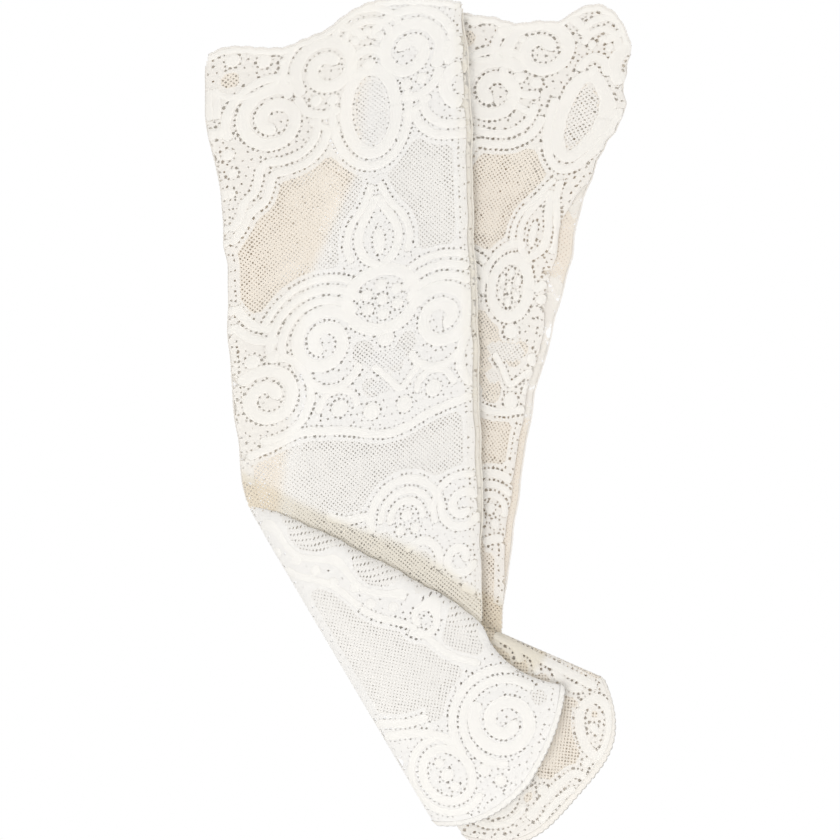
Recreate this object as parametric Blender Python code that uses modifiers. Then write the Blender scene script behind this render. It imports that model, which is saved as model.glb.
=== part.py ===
"""A pair of long lace gloves without finger stalls, lying flat with one across the other.

Each glove is a flattened sleeve of two lace panels joined by a seam at either side, with a scalloped
band and a corded edge at the cuff, a crease at the wrist and a narrow hem at the finger end. The rear
glove lies on the table and the front one over it, so the front one drapes down past the rear one's edge.
Metres, +Z up, +Y towards the cuffs, origin under the middle of the pair.
"""

import math

import bmesh
import bpy
from mathutils import Vector

MM = 0.001

# Cut of one glove. Both gloves of the pair are alike.
WRIST_WIDTH = 93.7 * MM
LACE_THICKNESS = 0.8 * MM
CUFF_BAND_DEPTH = 62.0 * MM
EDGING_RADIUS = 0.6 * MM
EDGING_GAP = 0.9 * MM  # from the scallops to the cord
SEAM_RADIUS = 0.9 * MM
SEAM_SETBACK = 4.5 * MM  # bare length of side edge at each end of a seam
HEM_WIDTH = 3.6 * MM
HEM_THICKNESS = 1.2 * MM
FINGER_ROUND = 2.8  # power of the finger edge's curve: 2 is a parabola, more has squarer shoulders

# How the soft sleeves lie.
LOFT = 7.0 * MM  # clear height between the two panels, in the middle
FLATNESS = 4.0  # power of the cross-section: 2 is an ellipse, more is flatter on top
CREASE_LOFT = 2.4 * MM  # clear height at the wrist crease
CREASE_REACH = 17.0 * MM  # length of sleeve that dips into the crease
ROLL_REACH = 7.0 * MM  # length of hand that rolls up out of the crease
FINGER_LOFT = 6.6 * MM  # clear height at the finger edge
DRAPE_REACH = 30.0 * MM  # width over which the front glove comes down beside the rear one

CLEARANCE = 0.3 * MM
CREASE_GAP = 1.0 * MM  # between the sleeve's edge and the hand's edge at the crease

# Where each glove lies, and how far the stretch lace is spread there. A tilt runs from -Y to +X.
REAR_CUFF = (17.9 * MM, 166.9 * MM)  # middle of the cuff line before the flare
REAR_TILT = math.radians(-6.84)
REAR_CUFF_WIDTH = 81.5 * MM  # before the flare
REAR_CUFF_FLARE = 31.6 * MM  # how far the right corner of the cuff is pulled out
REAR_CUFF_SKEW = -2.2 * MM  # half the difference between the two ends of the cuff line
REAR_SCALLOPS = (4.0 * MM, 4.0 * MM, 3.0 * MM, 11.0 * MM)  # depth of each, left to right
REAR_CREASE_AT = 238.5 * MM  # cuff line to crease along the middle
REAR_CREASE_SLANT = 14.1 * MM  # half the difference between the two ends of the crease
REAR_HAND_TURN = math.radians(45.8)
REAR_HAND_LENGTH = 94.1 * MM  # middle of the crease to the chord of the finger edge
REAR_FINGER_TURN = math.radians(9.8)
REAR_FINGER_WIDTH = 89.0 * MM
REAR_FINGER_BULGE = 23.0 * MM
REAR_THUMB_SAG = 0.0 * MM  # how far the inner edge of the hand curves in

FRONT_CUFF = (-35.7 * MM, 161.7 * MM)
FRONT_TILT = math.radians(3.75)
FRONT_CUFF_WIDTH = 108.7 * MM
FRONT_CUFF_FLARE = 0.0 * MM
FRONT_CUFF_SKEW = 7.2 * MM
FRONT_SCALLOPS = (5.0 * MM, 4.5 * MM, 7.0 * MM, 4.5 * MM)
FRONT_CREASE_AT = 222.6 * MM
FRONT_CREASE_SLANT = 28.5 * MM
FRONT_HAND_TURN = math.radians(30.5)
FRONT_HAND_LENGTH = 97.6 * MM
FRONT_FINGER_TURN = math.radians(12.6)
FRONT_FINGER_WIDTH = 79.0 * MM
FRONT_FINGER_BULGE = 16.0 * MM
FRONT_THUMB_SAG = 6.0 * MM

# Facets.
BAND_FACETS_PER_SCALLOP = 6
BAND_ROWS = 5
PANEL_COLUMNS = 12
SLEEVE_ROWS = 12
HAND_ROWS = 9
SEAM_POINTS = 12
CREASE_ROW_POWER = 1.6  # how much closer the hand's rows lie at the crease than at the hem

IVORY = (0.93, 0.915, 0.88, 1.0)
ECRU = (0.86, 0.82, 0.75, 1.0)
THREAD_WHITE = (0.95, 0.94, 0.915, 1.0)
LACE_ROUGHNESS = 0.85
THREAD_ROUGHNESS = 0.7


def smooth_step(x):
    x = min(1.0, max(0.0, x))
    return x * x * (3.0 - 2.0 * x)


def blend(first, last, share):
    return first + (last - first) * share


def bow(a):
    """Height of the flattened cross-section at a, from 0 at the seams to 1 in the middle."""
    return math.sqrt(max(0.0, 1.0 - abs(a) ** FLATNESS))


class Glove:
    """The plan and heights of one glove; a runs from -1 to 1 across it, left to right."""

    def __init__(self, cuff, tilt, widths, flare, skew, scallops, crease, hand, finger, sag, rest):
        self.cuff = Vector(cuff)
        self.along = Vector((math.sin(tilt), -math.cos(tilt)))
        self.across = Vector((math.cos(tilt), math.sin(tilt)))
        self.cuff_width, self.finger_width = widths
        self.flare = flare
        self.skew = skew
        self.scallops = scallops
        self.crease_at, self.slant = crease
        self.sag = sag
        self.rest = rest
        hand_turn, hand_length = hand
        finger_turn, self.bulge = finger
        hand_angle = tilt + hand_turn
        finger_angle = hand_angle + finger_turn
        hand_way = Vector((math.sin(hand_angle), -math.cos(hand_angle)))
        self.finger_across = Vector((math.cos(finger_angle), math.sin(finger_angle)))
        self.finger_way = Vector((math.sin(finger_angle), -math.cos(finger_angle)))
        self.finger_middle = self.sleeve(0.0, self.crease_at) + hand_way * hand_length

    def sleeve(self, a, s):
        """Plan point of the sleeve at a, and s along it from the cuff line."""
        half_width = 0.5 * blend(self.cuff_width, WRIST_WIDTH, s / self.crease_at)
        spread = self.flare * max(0.0, 1.0 - s / self.crease_at) ** 2
        to_right = 0.5 + 0.5 * a
        return self.cuff + self.across * (a * half_width + to_right * spread) + self.along * s

    def cuff_line(self, a):
        return -self.skew * a

    def scalloped_edge(self, a):
        count = len(self.scallops)
        place = 0.5 * count * (a + 1.0)
        depth = self.scallops[min(count - 1, int(place))]
        return self.cuff_line(a) - depth * abs(math.sin(math.pi * place))

    def crease(self, a):
        return self.crease_at + self.slant * a

    def hand_start(self, a):
        return self.sleeve(a, self.crease(a) + 0.5 * CREASE_GAP)

    def finger_edge(self, a):
        chord = self.finger_middle + self.finger_across * (0.5 * self.finger_width * a)
        return chord + self.finger_way * (self.bulge * (1.0 - abs(a) ** FINGER_ROUND))

    def hand(self, a, t):
        """Plan point of the hand at a, and t from 0 at the crease to 1 at the hem."""
        last = self.finger_edge(a) - self.finger_way * (HEM_WIDTH + CLEARANCE)
        inward = -self.finger_across * (self.sag * 4.0 * t * (1.0 - t) * (0.5 + 0.5 * a) ** 2)
        return blend(self.hand_start(a), last, t) + inward

    def hem(self, a, t):
        return self.finger_edge(a) - self.finger_way * (HEM_WIDTH * (1.0 - t))

    def sleeve_loft(self, a, s):
        dip = smooth_step((self.crease(a) - s) / CREASE_REACH)
        return blend(CREASE_LOFT, LOFT, dip) * bow(a)

    def hand_loft(self, a, t):
        length = (self.hand(a, 1.0) - self.hand_start(a)).length
        roll = smooth_step(t * length / ROLL_REACH)
        fall = smooth_step(t)
        return blend(CREASE_LOFT, blend(LOFT, FINGER_LOFT, fall), roll) * bow(a)

    def under(self, plan):
        """Point of the under panel's lower side."""
        return Vector((plan.x, plan.y, self.rest(plan)))

    def upper(self, plan, loft, under_thickness):
        """Point of the upper panel's lower side."""
        return Vector((plan.x, plan.y, self.rest(plan) + under_thickness + CLEARANCE + loft))


def on_table(plan):
    return 0.0


REAR_TOP = 2.0 * LACE_THICKNESS + CLEARANCE + LOFT
SEAM_OFFSET = LACE_THICKNESS + SEAM_RADIUS
SEAM_REACH = SEAM_OFFSET + SEAM_RADIUS

rear = Glove(
    cuff=REAR_CUFF,
    tilt=REAR_TILT,
    widths=(REAR_CUFF_WIDTH, REAR_FINGER_WIDTH),
    flare=REAR_CUFF_FLARE,
    skew=REAR_CUFF_SKEW,
    scallops=REAR_SCALLOPS,
    crease=(REAR_CREASE_AT, REAR_CREASE_SLANT),
    hand=(REAR_HAND_TURN, REAR_HAND_LENGTH),
    finger=(REAR_FINGER_TURN, REAR_FINGER_BULGE),
    sag=REAR_THUMB_SAG,
    rest=on_table,
)


def beyond(plan, start, end):
    """How far a plan point lies to the right of the way from start to end, seen from above."""
    way = (end - start).normalized()
    offset = plan - start
    return offset.x * way.y - offset.y * way.x


def over_rear(plan):
    """Height at which the front glove lies: on the rear one, and down to the table beside it."""
    wrist = rear.sleeve(-1.0, rear.crease(-1.0))
    beside_sleeve = beyond(plan, rear.sleeve(-1.0, 0.0), wrist)
    beside_hand = beyond(plan, wrist, rear.finger_edge(-1.0))
    beside = max(beside_sleeve, beside_hand) - SEAM_REACH
    return (REAR_TOP + CLEARANCE) * (1.0 - smooth_step(beside / DRAPE_REACH))


front = Glove(
    cuff=FRONT_CUFF,
    tilt=FRONT_TILT,
    widths=(FRONT_CUFF_WIDTH, FRONT_FINGER_WIDTH),
    flare=FRONT_CUFF_FLARE,
    skew=FRONT_CUFF_SKEW,
    scallops=FRONT_SCALLOPS,
    crease=(FRONT_CREASE_AT, FRONT_CREASE_SLANT),
    hand=(FRONT_HAND_TURN, FRONT_HAND_LENGTH),
    finger=(FRONT_FINGER_TURN, FRONT_FINGER_BULGE),
    sag=FRONT_THUMB_SAG,
    rest=over_rear,
)


def clear_scene():
    for thing in list(bpy.data.objects):
        bpy.data.objects.remove(thing, do_unlink=True)


def fabric(name, colour, roughness):
    material = bpy.data.materials.new(name)
    material.use_nodes = True
    shader = material.node_tree.nodes["Principled BSDF"]
    shader.inputs["Base Color"].default_value = colour
    shader.inputs["Roughness"].default_value = roughness
    shader.inputs["Metallic"].default_value = 0.0
    return material


def add_object(name, data, material, parent):
    """Links an object whose points are given from the origin, and hangs it on parent where it is."""
    data.materials.append(material)
    thing = bpy.data.objects.new(name, data)
    pair.objects.link(thing)
    thing.parent = parent
    thing.location = -parent.matrix_world.translation
    return thing


def add_empty(name, place, parent=None):
    empty = bpy.data.objects.new(name, None)
    pair.objects.link(empty)
    empty.parent = parent
    empty.location = Vector(place) - (parent.matrix_world.translation if parent else Vector())
    bpy.context.view_layer.update()
    return empty


def add_panel(name, columns, rows, place, thickness, material, parent):
    """A sheet over a grid: place gives the lower side's point at a, across, and t, from 0 to 1 along."""
    mesh = bpy.data.meshes.new(name)
    grid = bmesh.new()
    bmesh.ops.create_grid(grid, x_segments=columns, y_segments=rows, size=1.0)
    for vertex in grid.verts:
        vertex.co = place(vertex.co.x, 0.5 - 0.5 * vertex.co.y)
    grid.to_mesh(mesh)
    grid.free()
    mesh.shade_smooth()
    thing = add_object(name, mesh, material, parent)
    shell = thing.modifiers.new("lace thickness", "SOLIDIFY")
    shell.thickness = thickness
    shell.offset = 1.0
    return thing


def add_cord(name, points, radius, closed, material, parent):
    curve = bpy.data.curves.new(name, "CURVE")
    curve.dimensions = "3D"
    curve.bevel_depth = radius
    curve.bevel_resolution = 1
    curve.use_fill_caps = not closed
    line = curve.splines.new("POLY")
    line.points.add(len(points) - 1)
    for control, point in zip(line.points, points):
        control.co = (*point, 1.0)
    line.use_cyclic_u = closed
    return add_object(name, curve, material, parent)


def closer_at_edges(u):
    """Grid columns that lie closer together towards the seams, where the section curves most."""
    return math.sin(0.5 * math.pi * u)


def closer_at_crease(t):
    return t**CREASE_ROW_POWER


def add_cuff_band(glove, name, parent):
    columns = len(glove.scallops) * BAND_FACETS_PER_SCALLOP

    def plan(a, t):
        last = CUFF_BAND_DEPTH + glove.cuff_line(a)
        s = blend(glove.scalloped_edge(a), last, t)
        return glove.sleeve(a, s), glove.sleeve_loft(a, s)

    def under(a, t):
        return glove.under(plan(a, t)[0])

    def upper(a, t):
        return glove.upper(*plan(a, t), LACE_THICKNESS)

    add_panel(f"{name}_cuff_band_under", columns, BAND_ROWS, under, LACE_THICKNESS, ivory, parent)
    add_panel(f"{name}_cuff_band_upper", columns, BAND_ROWS, upper, LACE_THICKNESS, ivory, parent)


def add_sleeve(glove, name, parent):
    def plan(u, t):
        a = closer_at_edges(u)
        first = CUFF_BAND_DEPTH + glove.cuff_line(a) + CLEARANCE
        s = blend(first, glove.crease(a) - 0.5 * CREASE_GAP, t)
        return glove.sleeve(a, s), glove.sleeve_loft(a, s)

    def under(u, t):
        return glove.under(plan(u, t)[0])

    def upper(u, t):
        return glove.upper(*plan(u, t), LACE_THICKNESS)

    add_panel(f"{name}_sleeve_under", PANEL_COLUMNS, SLEEVE_ROWS, under, LACE_THICKNESS, ivory, parent)
    add_panel(f"{name}_sleeve_upper", PANEL_COLUMNS, SLEEVE_ROWS, upper, LACE_THICKNESS, ivory, parent)


def add_hand(glove, name, parent):
    def plan(u, t):
        a = closer_at_edges(u)
        t = closer_at_crease(t)
        return glove.hand(a, t), glove.hand_loft(a, t)

    def under(u, t):
        return glove.under(plan(u, t)[0])

    def upper(u, t):
        return glove.upper(*plan(u, t), LACE_THICKNESS)

    add_panel(f"{name}_hand_under", PANEL_COLUMNS, HAND_ROWS, under, LACE_THICKNESS, ivory, parent)
    add_panel(f"{name}_hand_upper", PANEL_COLUMNS, HAND_ROWS, upper, LACE_THICKNESS, ivory, parent)


def add_hem(glove, name, parent):
    def under(u, t):
        return glove.under(glove.hem(closer_at_edges(u), t))

    def upper(u, t):
        a = closer_at_edges(u)
        return glove.upper(glove.hem(a, t), FINGER_LOFT * bow(a), HEM_THICKNESS)

    add_panel(f"{name}_finger_hem_under", PANEL_COLUMNS, 1, under, HEM_THICKNESS, ecru, parent)
    add_panel(f"{name}_finger_hem_upper", PANEL_COLUMNS, 1, upper, HEM_THICKNESS, ecru, parent)


def beside_line(plan_points, side):
    """The points moved out from the glove, square to their line; side is -1 on the left."""
    moved = []
    last = len(plan_points) - 1
    for i, point in enumerate(plan_points):
        way = (plan_points[min(i + 1, last)] - plan_points[max(i - 1, 0)]).normalized()
        moved.append(point + Vector((-way.y, way.x)) * (side * SEAM_OFFSET))
    return moved


def seam_path(glove, line, length, side):
    """A seam's points: line gives plan points over 0 to 1, and a bare length stays at either end."""
    bare = SEAM_SETBACK / length
    shares = [blend(bare, 1.0 - bare, i / (SEAM_POINTS - 1)) for i in range(SEAM_POINTS)]
    plan = beside_line([line(share) for share in shares], side)
    lift = max(SEAM_RADIUS, LACE_THICKNESS + 0.5 * CLEARANCE)
    return [glove.under(point) + Vector((0.0, 0.0, lift)) for point in plan]


def add_seams(glove, name, sleeve_parent, hand_parent):
    for side, word in ((-1, "outer"), (1, "inner")):
        first = glove.cuff_line(side)
        last = glove.crease(side)

        def sleeve_line(share):
            return glove.sleeve(side, blend(first, last, share))

        def hand_line(share):
            return glove.hand(side, share)

        hand_length = (hand_line(1.0) - hand_line(0.0)).length
        points = seam_path(glove, sleeve_line, last - first, side)
        add_cord(f"{name}_sleeve_{word}_seam", points, SEAM_RADIUS, False, thread, sleeve_parent)
        points = seam_path(glove, hand_line, hand_length, side)
        add_cord(f"{name}_hand_{word}_seam", points, SEAM_RADIUS, False, thread, hand_parent)


def add_edging(glove, name, parent):
    """The corded edge: one loop along the upper scallops and back along the under ones."""
    count = len(glove.scallops) * BAND_FACETS_PER_SCALLOP
    upper_points = []
    under_points = []
    for i in range(count + 1):
        a = blend(-1.0, 1.0, i / count)
        s = glove.scalloped_edge(a) - EDGING_RADIUS - EDGING_GAP
        plan = glove.sleeve(a, s)
        crown = glove.upper(plan, glove.sleeve_loft(a, s), LACE_THICKNESS)
        upper_points.append(crown + Vector((0.0, 0.0, LACE_THICKNESS - EDGING_RADIUS)))
        under_points.append(glove.under(plan) + Vector((0.0, 0.0, EDGING_RADIUS)))
    loop = upper_points[1:-1] + under_points[-2:0:-1]
    add_cord(f"{name}_cuff_edging", loop, EDGING_RADIUS, True, thread, parent)


def add_glove(glove, name, sleeve_parent, hand_parent):
    add_cuff_band(glove, name, sleeve_parent)
    add_edging(glove, name, sleeve_parent)
    add_sleeve(glove, name, sleeve_parent)
    add_hand(glove, name, hand_parent)
    add_hem(glove, name, hand_parent)
    add_seams(glove, name, sleeve_parent, hand_parent)


def settle_on_origin(root):
    """Moves the pair so that its box stands on the origin, centred."""
    bpy.context.view_layer.update()
    graph = bpy.context.evaluated_depsgraph_get()
    low = Vector((math.inf,) * 3)
    high = Vector((-math.inf,) * 3)
    for thing in pair.objects:
        if thing.type == "EMPTY":
            continue
        evaluated = thing.evaluated_get(graph)
        mesh = evaluated.to_mesh()
        for vertex in mesh.vertices:
            place = evaluated.matrix_world @ vertex.co
            low = Vector(map(min, low, place))
            high = Vector(map(max, high, place))
        evaluated.to_mesh_clear()
    root.location = (-0.5 * (low.x + high.x), -0.5 * (low.y + high.y), -low.z)
    bpy.context.view_layer.update()


clear_scene()
pair = bpy.data.collections.new("lace_gloves_pair")
bpy.context.scene.collection.children.link(pair)
ivory = fabric("ivory_lace", IVORY, LACE_ROUGHNESS)
ecru = fabric("ecru_hem_lace", ECRU, LACE_ROUGHNESS)
thread = fabric("white_seam_thread", THREAD_WHITE, THREAD_ROUGHNESS)

FRONT_TOP = REAR_TOP + CLEARANCE + REAR_TOP
crease_ends = [front.sleeve(side, front.crease(side)) for side in (1.0, -1.0)]
crease_middle = 0.5 * (crease_ends[0] + crease_ends[1])

root = add_empty("pair_on_table", (0.0, 0.0, 0.0))
front_lift = add_empty("front_glove_lift", (*front.cuff, REAR_TOP + CLEARANCE), root)
hand_fold = add_empty("front_hand_fold", (*crease_middle, FRONT_TOP), front_lift)

add_glove(rear, "rear", root, root)
add_glove(front, "front", front_lift, hand_fold)
settle_on_origin(root)

fold_axis = (crease_ends[1] - crease_ends[0]).normalized()
print("pair moved by", [round(x, 5) for x in root.location])
print("front hand folds about", [round(x, 5) for x in hand_fold.matrix_world.translation])
print("along", [round(x, 5) for x in fold_axis])
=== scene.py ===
import bmesh
import bpy
import numpy as np
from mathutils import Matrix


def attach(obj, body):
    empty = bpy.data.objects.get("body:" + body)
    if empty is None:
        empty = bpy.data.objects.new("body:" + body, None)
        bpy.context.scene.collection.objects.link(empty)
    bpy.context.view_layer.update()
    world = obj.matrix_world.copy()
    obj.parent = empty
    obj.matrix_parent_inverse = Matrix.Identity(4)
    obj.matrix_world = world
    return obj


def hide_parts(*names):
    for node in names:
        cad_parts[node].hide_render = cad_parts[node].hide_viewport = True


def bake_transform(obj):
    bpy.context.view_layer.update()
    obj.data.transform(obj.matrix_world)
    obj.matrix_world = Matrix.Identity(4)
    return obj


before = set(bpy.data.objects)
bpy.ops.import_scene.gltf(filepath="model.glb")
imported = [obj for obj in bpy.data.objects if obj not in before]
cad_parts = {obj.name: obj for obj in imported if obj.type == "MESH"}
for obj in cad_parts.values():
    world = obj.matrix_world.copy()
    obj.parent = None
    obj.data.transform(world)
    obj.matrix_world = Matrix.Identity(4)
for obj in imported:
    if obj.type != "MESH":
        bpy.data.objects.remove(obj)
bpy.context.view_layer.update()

# Lengths are in millimetres; points go to metres when they are laid in the world.
lie = dict(  # how the pair lies, the same sizes as the solids
    wrist=93.7, lace=0.8, bandDepth=62.0, hem=3.6, loft=7.0, flatness=4.0, creaseLoft=2.4, rollReach=7.0,
    fingerLoft=6.6, drapeReach=30.0, gap=0.3, creaseGap=1.0, seamRadius=0.9, seamSetback=4.5,
    edgingRadius=0.6, settled=(0.77, -0.32))
rearGlove = dict(  # tables hold places and then values, along the cuff's edge or down a side
    name="rear", cuff=(17.9, 166.9), tilt=-6.84, cuffWidth=81.5, flare=31.6, skew=-2.2,
    creaseAt=238.5, fingerRound=3.8, trim=0.0, slant=14.1, handTurn=45.8, handLength=94.1,
    fingerTurn=9.8, fingerWidth=89.0, bulge=23.0, sag=0.0,
    motifAxis=35.5, motifShift=-6.0, overhang=0.0,
    tuck=((0, 58, 76, 106, 122, 150, 215, 240), (0, 0.5, 6.5, 7, 3.6, 3.2, 3.2, 0)),
    cuffEdge=((-50, -40, -30, -20, -13.5, -8, -3.4, 1.3, 6, 10.4, 14.3, 18.4, 21.7, 23.4, 25.4, 29.2, 33.3,
               38.2, 42.1, 46.1, 50),
              (0.5, 3, 1, 3, 3.5, 3.2, 3.9, 2.8, 2.4, 4, 5.4, 5.6, 6.5, 8.8, 12.1, 15, 16.2,
               14.6, 11.5, 6.5, 0.5)),
    outSide=((0, 240), (0, 0)),
    inSide=((0, 5, 9, 13, 18, 22, 25, 28, 31, 34, 38, 41, 45, 50, 58, 66, 74, 85, 92, 100, 112, 120, 134,
             150, 165, 240),
            (0, 1.4, 0.6, 2.8, 2, 4.6, 7, 5.4, 6.8, 4.4, 5.6, 2.8, 3.4, 1.2, 2, 0.2, 1.4, 2, 3.4, 2.4, 2.8,
             1.4, 1.6, 0.2, 0.8, 0)))
frontGlove = dict(
    name="front", cuff=(-35.7, 161.7), tilt=3.75, cuffWidth=108.7, flare=0.0, skew=7.2,
    creaseAt=222.6, fingerRound=2.8, trim=3.2, slant=28.5, handTurn=30.5, handLength=97.6,
    fingerTurn=12.6, fingerWidth=79.0, bulge=16.0, sag=6.0,
    motifAxis=12.5, motifShift=0.0, overhang=5.0,
    tuck=((0, 14, 190, 222), (0.6, 2.5, 2.5, 0)),
    cuffEdge=((-50, -48, -42.4, -36.2, -30.1, -23.2, -18.5, -13.7, -7.4, -2.7, 1.4, 6.3, 12.6, 18, 25.7,
               33.4, 41, 47.1, 50),
              (1.5, 3.2, 4.3, 3.2, 1.2, -0.5, -1, 0.4, 1.4, 2.2, 4.8, 7.4, 9.5, 10, 9.2,
               7.5, 5.4, 3.4, 2)),
    outSide=((0, 8, 21, 40, 50, 65, 78, 85, 92, 105, 115, 135, 150, 165, 185, 195, 222),
             (0.5, 1.7, 3, 3.2, 1.5, 0.2, 1.5, 1.8, 0.3, 1.2, 2.8, 3.4, 4.6, 3.6, 3.6, 1.2, 0)),
    inSide=((0, 14, 190, 222), (0.4, 1.7, 1.7, 0)))
gloves = (rearGlove, frontGlove)
halfWidth = 50.0  # lace units from the middle of a panel to its seam, about a millimetre each
drape = dict(  # how slackly it lies; a fray wave is its height, its span and its turn of phase
    ripple=0.35, sleeveLoft=3.8, dip=0.35, dipReach=22.0, overhangReach=11.0, overlap=1.6, hem=1.8,
    tuckFrom=0.2, fray=0.45, frayWaves=((1.0, 5.1, 1.0), (0.7, 2.9, 2.0), (1.3, 13.0, 3.0)),
    picot=0.5, picotEvery=5.2, worn=11.5, wornMore=4.5, wornAt=0.3, wornSpan=0.45, trimming=2.6,
    sleevePhase=0.7, handPhase=1.9, ragged=((0.06, 13.0, 0.0), (0.03, 37.0, 1.0)), hangShape=0.55)
search = dict(  # the steps that find a point's place on the hand, and their limits
    step=1e-4, most=0.5, tries=14, a=(-1.6, 1.6), t=(-1.0, 2.0), firstA=(-1.1, 1.1), firstT=(-0.2, 1.2))


def ways(degrees):  # unit vectors along a tilted piece, and across it
    angle = np.radians(degrees)
    return np.array([np.sin(angle), -np.cos(angle)]), np.array([np.cos(angle), np.sin(angle)])


def pair(x, y):  # two sets of coordinates as points
    return np.stack(np.broadcast_arrays(x, y), axis=-1)


def unit(v):
    return v / np.maximum(np.linalg.norm(v, axis=-1, keepdims=True), 1e-9)


def smooth(x):  # 3x^2 - 2x^3 between 0 and 1
    x = np.clip(x, 0.0, 1.0)
    return x * x * (3.0 - 2.0 * x)


def eased(x, places, values):  # a table read with rounded corners: the mean of five readings side by side
    return sum(np.interp(x + k, places, values) for k in (-1.6, -0.8, 0.0, 0.8, 1.6)) / 5.0


def fray(g, a, s):  # slack sides: three sine waves along them, fading towards the middle
    phase = g["tilt"] + 2.0 * np.sign(a)
    waves = sum(high * np.sin(s / span + turn * phase) for high, span, turn in drape["frayWaves"])
    side = np.where(a < 0, eased(s, *g["outSide"]), eased(s, *g["inSide"]))
    return (drape["fray"] * waves / 2.0 + side) * a * np.abs(a) ** 3


def sleevePlan(g, a, s):  # cuff point + across * (a * half width + flare to the right) + along * s
    half = 0.5 * (g["cuffWidth"] + (lie["wrist"] - g["cuffWidth"]) * s / g["creaseAt"])
    spread = g["flare"] * np.maximum(0.0, 1.0 - s / g["creaseAt"]) ** 2
    offset = a * half + (0.5 + 0.5 * a) * spread + fray(g, a, s)
    return np.array(g["cuff"]) + offset[..., None] * g["across"] + s[..., None] * g["along"]


def wornReach(a):  # the pressed strip beside a crease: a plain width and a bell curve right of its middle
    return drape["worn"] + drape["wornMore"] * np.exp(-((a - drape["wornAt"]) / drape["wornSpan"]) ** 2)


def scallopDepth(g, a):  # the cuff's own outline with a row of small picots on it
    u = halfWidth * np.clip(a, -1.0, 1.0)
    return eased(u, *g["cuffEdge"]) + drape["picot"] * np.abs(np.sin(np.pi * u / drape["picotEvery"]))


def creaseLine(g, a):
    return g["creaseAt"] + g["slant"] * a


def fingerEdge(g, a):  # chord of the finger end, bulged by 1 - |a|^round and trimmed a little on the inner side
    trim = drape["trimming"] * g["trim"] * np.clip(a, 0.0, 1.0) * (1.0 - a * a)
    out = g["bulge"] * (1.0 - np.abs(a) ** g["fingerRound"]) - trim
    chord = g["fingerMiddle"] + (0.5 * g["fingerWidth"] * a)[..., None] * g["fingerAcross"]
    return chord + out[..., None] * g["fingerWay"]


def handPlan(g, a, t):  # straight lines from the crease to the hem, the inner ones sagging inwards
    start = sleevePlan(g, a, creaseLine(g, a) + 0.5 * lie["creaseGap"])
    last = fingerEdge(g, a) - drape["hem"] * g["fingerWay"]
    sag = g["sag"] * 4.0 * t * (1.0 - t) * (0.5 + 0.5 * a) ** 2
    return start + (last - start) * t[..., None] - sag[..., None] * g["fingerAcross"]


def handFind(g, plan):  # a and t of a plan point on the hand, by Newton's method on the map above
    offset = plan - g["creaseMiddle"]
    a = np.clip(offset @ g["fingerAcross"] / (0.5 * g["fingerWidth"]), *search["firstA"])
    t = np.clip(offset @ g["handWay"] / g["handLength"], *search["firstT"])
    step, most = search["step"], search["most"]
    for _ in range(search["tries"]):
        here = handPlan(g, a, t)
        byA = (handPlan(g, a + step, t) - here) / step
        byT = (handPlan(g, a, t + step) - here) / step
        miss = plan - here
        area = byA[..., 0] * byT[..., 1] - byA[..., 1] * byT[..., 0]
        area = np.where(np.abs(area) < 1.0, np.sign(area) + (area == 0), area)
        a = a + np.clip((miss[..., 0] * byT[..., 1] - miss[..., 1] * byT[..., 0]) / area, -most, most)
        t = t + np.clip((miss[..., 1] * byA[..., 0] - miss[..., 0] * byA[..., 1]) / area, -most, most)
        a, t = np.clip(a, *search["a"]), np.clip(t, *search["t"])
    return a, t


def handPoint(g, uv):  # millimetres across and along the hand from the middle of the crease, to the plan
    return g["creaseMiddle"] + uv[..., :1] * g["handAcross"] + uv[..., 1:] * g["handWay"]


def handUv(g, offset):  # a way or an offset in the plan, as millimetres across and along the hand
    return pair(offset @ g["handAcross"], offset @ g["handWay"])


def bow(a):  # flattened section: root of 1 - |a|^4
    return np.sqrt(np.maximum(0.0, 1.0 - np.abs(a) ** lie["flatness"]))


def beyond(plan, start, end):  # distance to the right of the way from start to end
    way, offset = unit(end - start), plan - start
    return offset[..., 0] * way[1] - offset[..., 1] * way[0]


def besideRear(plan):  # distance past the rear glove's left side
    one = np.array(-1.0)
    wrist = sleevePlan(rearGlove, one, creaseLine(rearGlove, one))
    beside = np.maximum(beyond(plan, sleevePlan(rearGlove, one, np.array(0.0)), wrist),
                        beyond(plan, wrist, fingerEdge(rearGlove, one)))
    return beside - lie["lace"] - 2.0 * lie["seamRadius"]


def restHeight(g, plan):  # the front glove lies on the rear one and comes down to the table beside it
    if g is rearGlove:
        return np.zeros(plan.shape[:-1])
    top = 2.0 * lie["lace"] + 2.0 * lie["gap"] + lie["loft"]
    return top * (1.0 - smooth(besideRear(plan) / lie["drapeReach"]))


for glove in gloves:
    glove["along"], glove["across"] = ways(glove["tilt"])
    glove["handWay"], glove["handAcross"] = ways(glove["tilt"] + glove["handTurn"])
    glove["fingerWay"], glove["fingerAcross"] = ways(glove["tilt"] + glove["handTurn"] + glove["fingerTurn"])
    glove["creaseMiddle"] = np.array(glove["cuff"]) + glove["along"] * glove["creaseAt"]
    glove["fingerMiddle"] = glove["creaseMiddle"] + glove["handWay"] * glove["handLength"]
    ends = [sleevePlan(glove, np.array(x), creaseLine(glove, np.array(x))) for x in (-1.0, 1.0)]
    way = unit(ends[1] - ends[0])
    glove["creaseEnds"], glove["creaseWay"] = ends, way
    glove["creaseNormal"] = np.array([way[1], -way[0]])  # from the sleeve towards the hand


def ripple(plan, phase):  # a few crossed sine waves, the slackness of cloth that was put down by hand
    x, y = plan[..., 0], plan[..., 1]
    waves = np.sin(x / 7.3 + y / 23.0 + phase) + np.sin(x / 17.0 - y / 9.1 + 2.3 * phase)
    return drape["ripple"] * (0.5 * waves + 0.6 * np.sin(y / 31.0 + x / 41.0 + phase))


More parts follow.
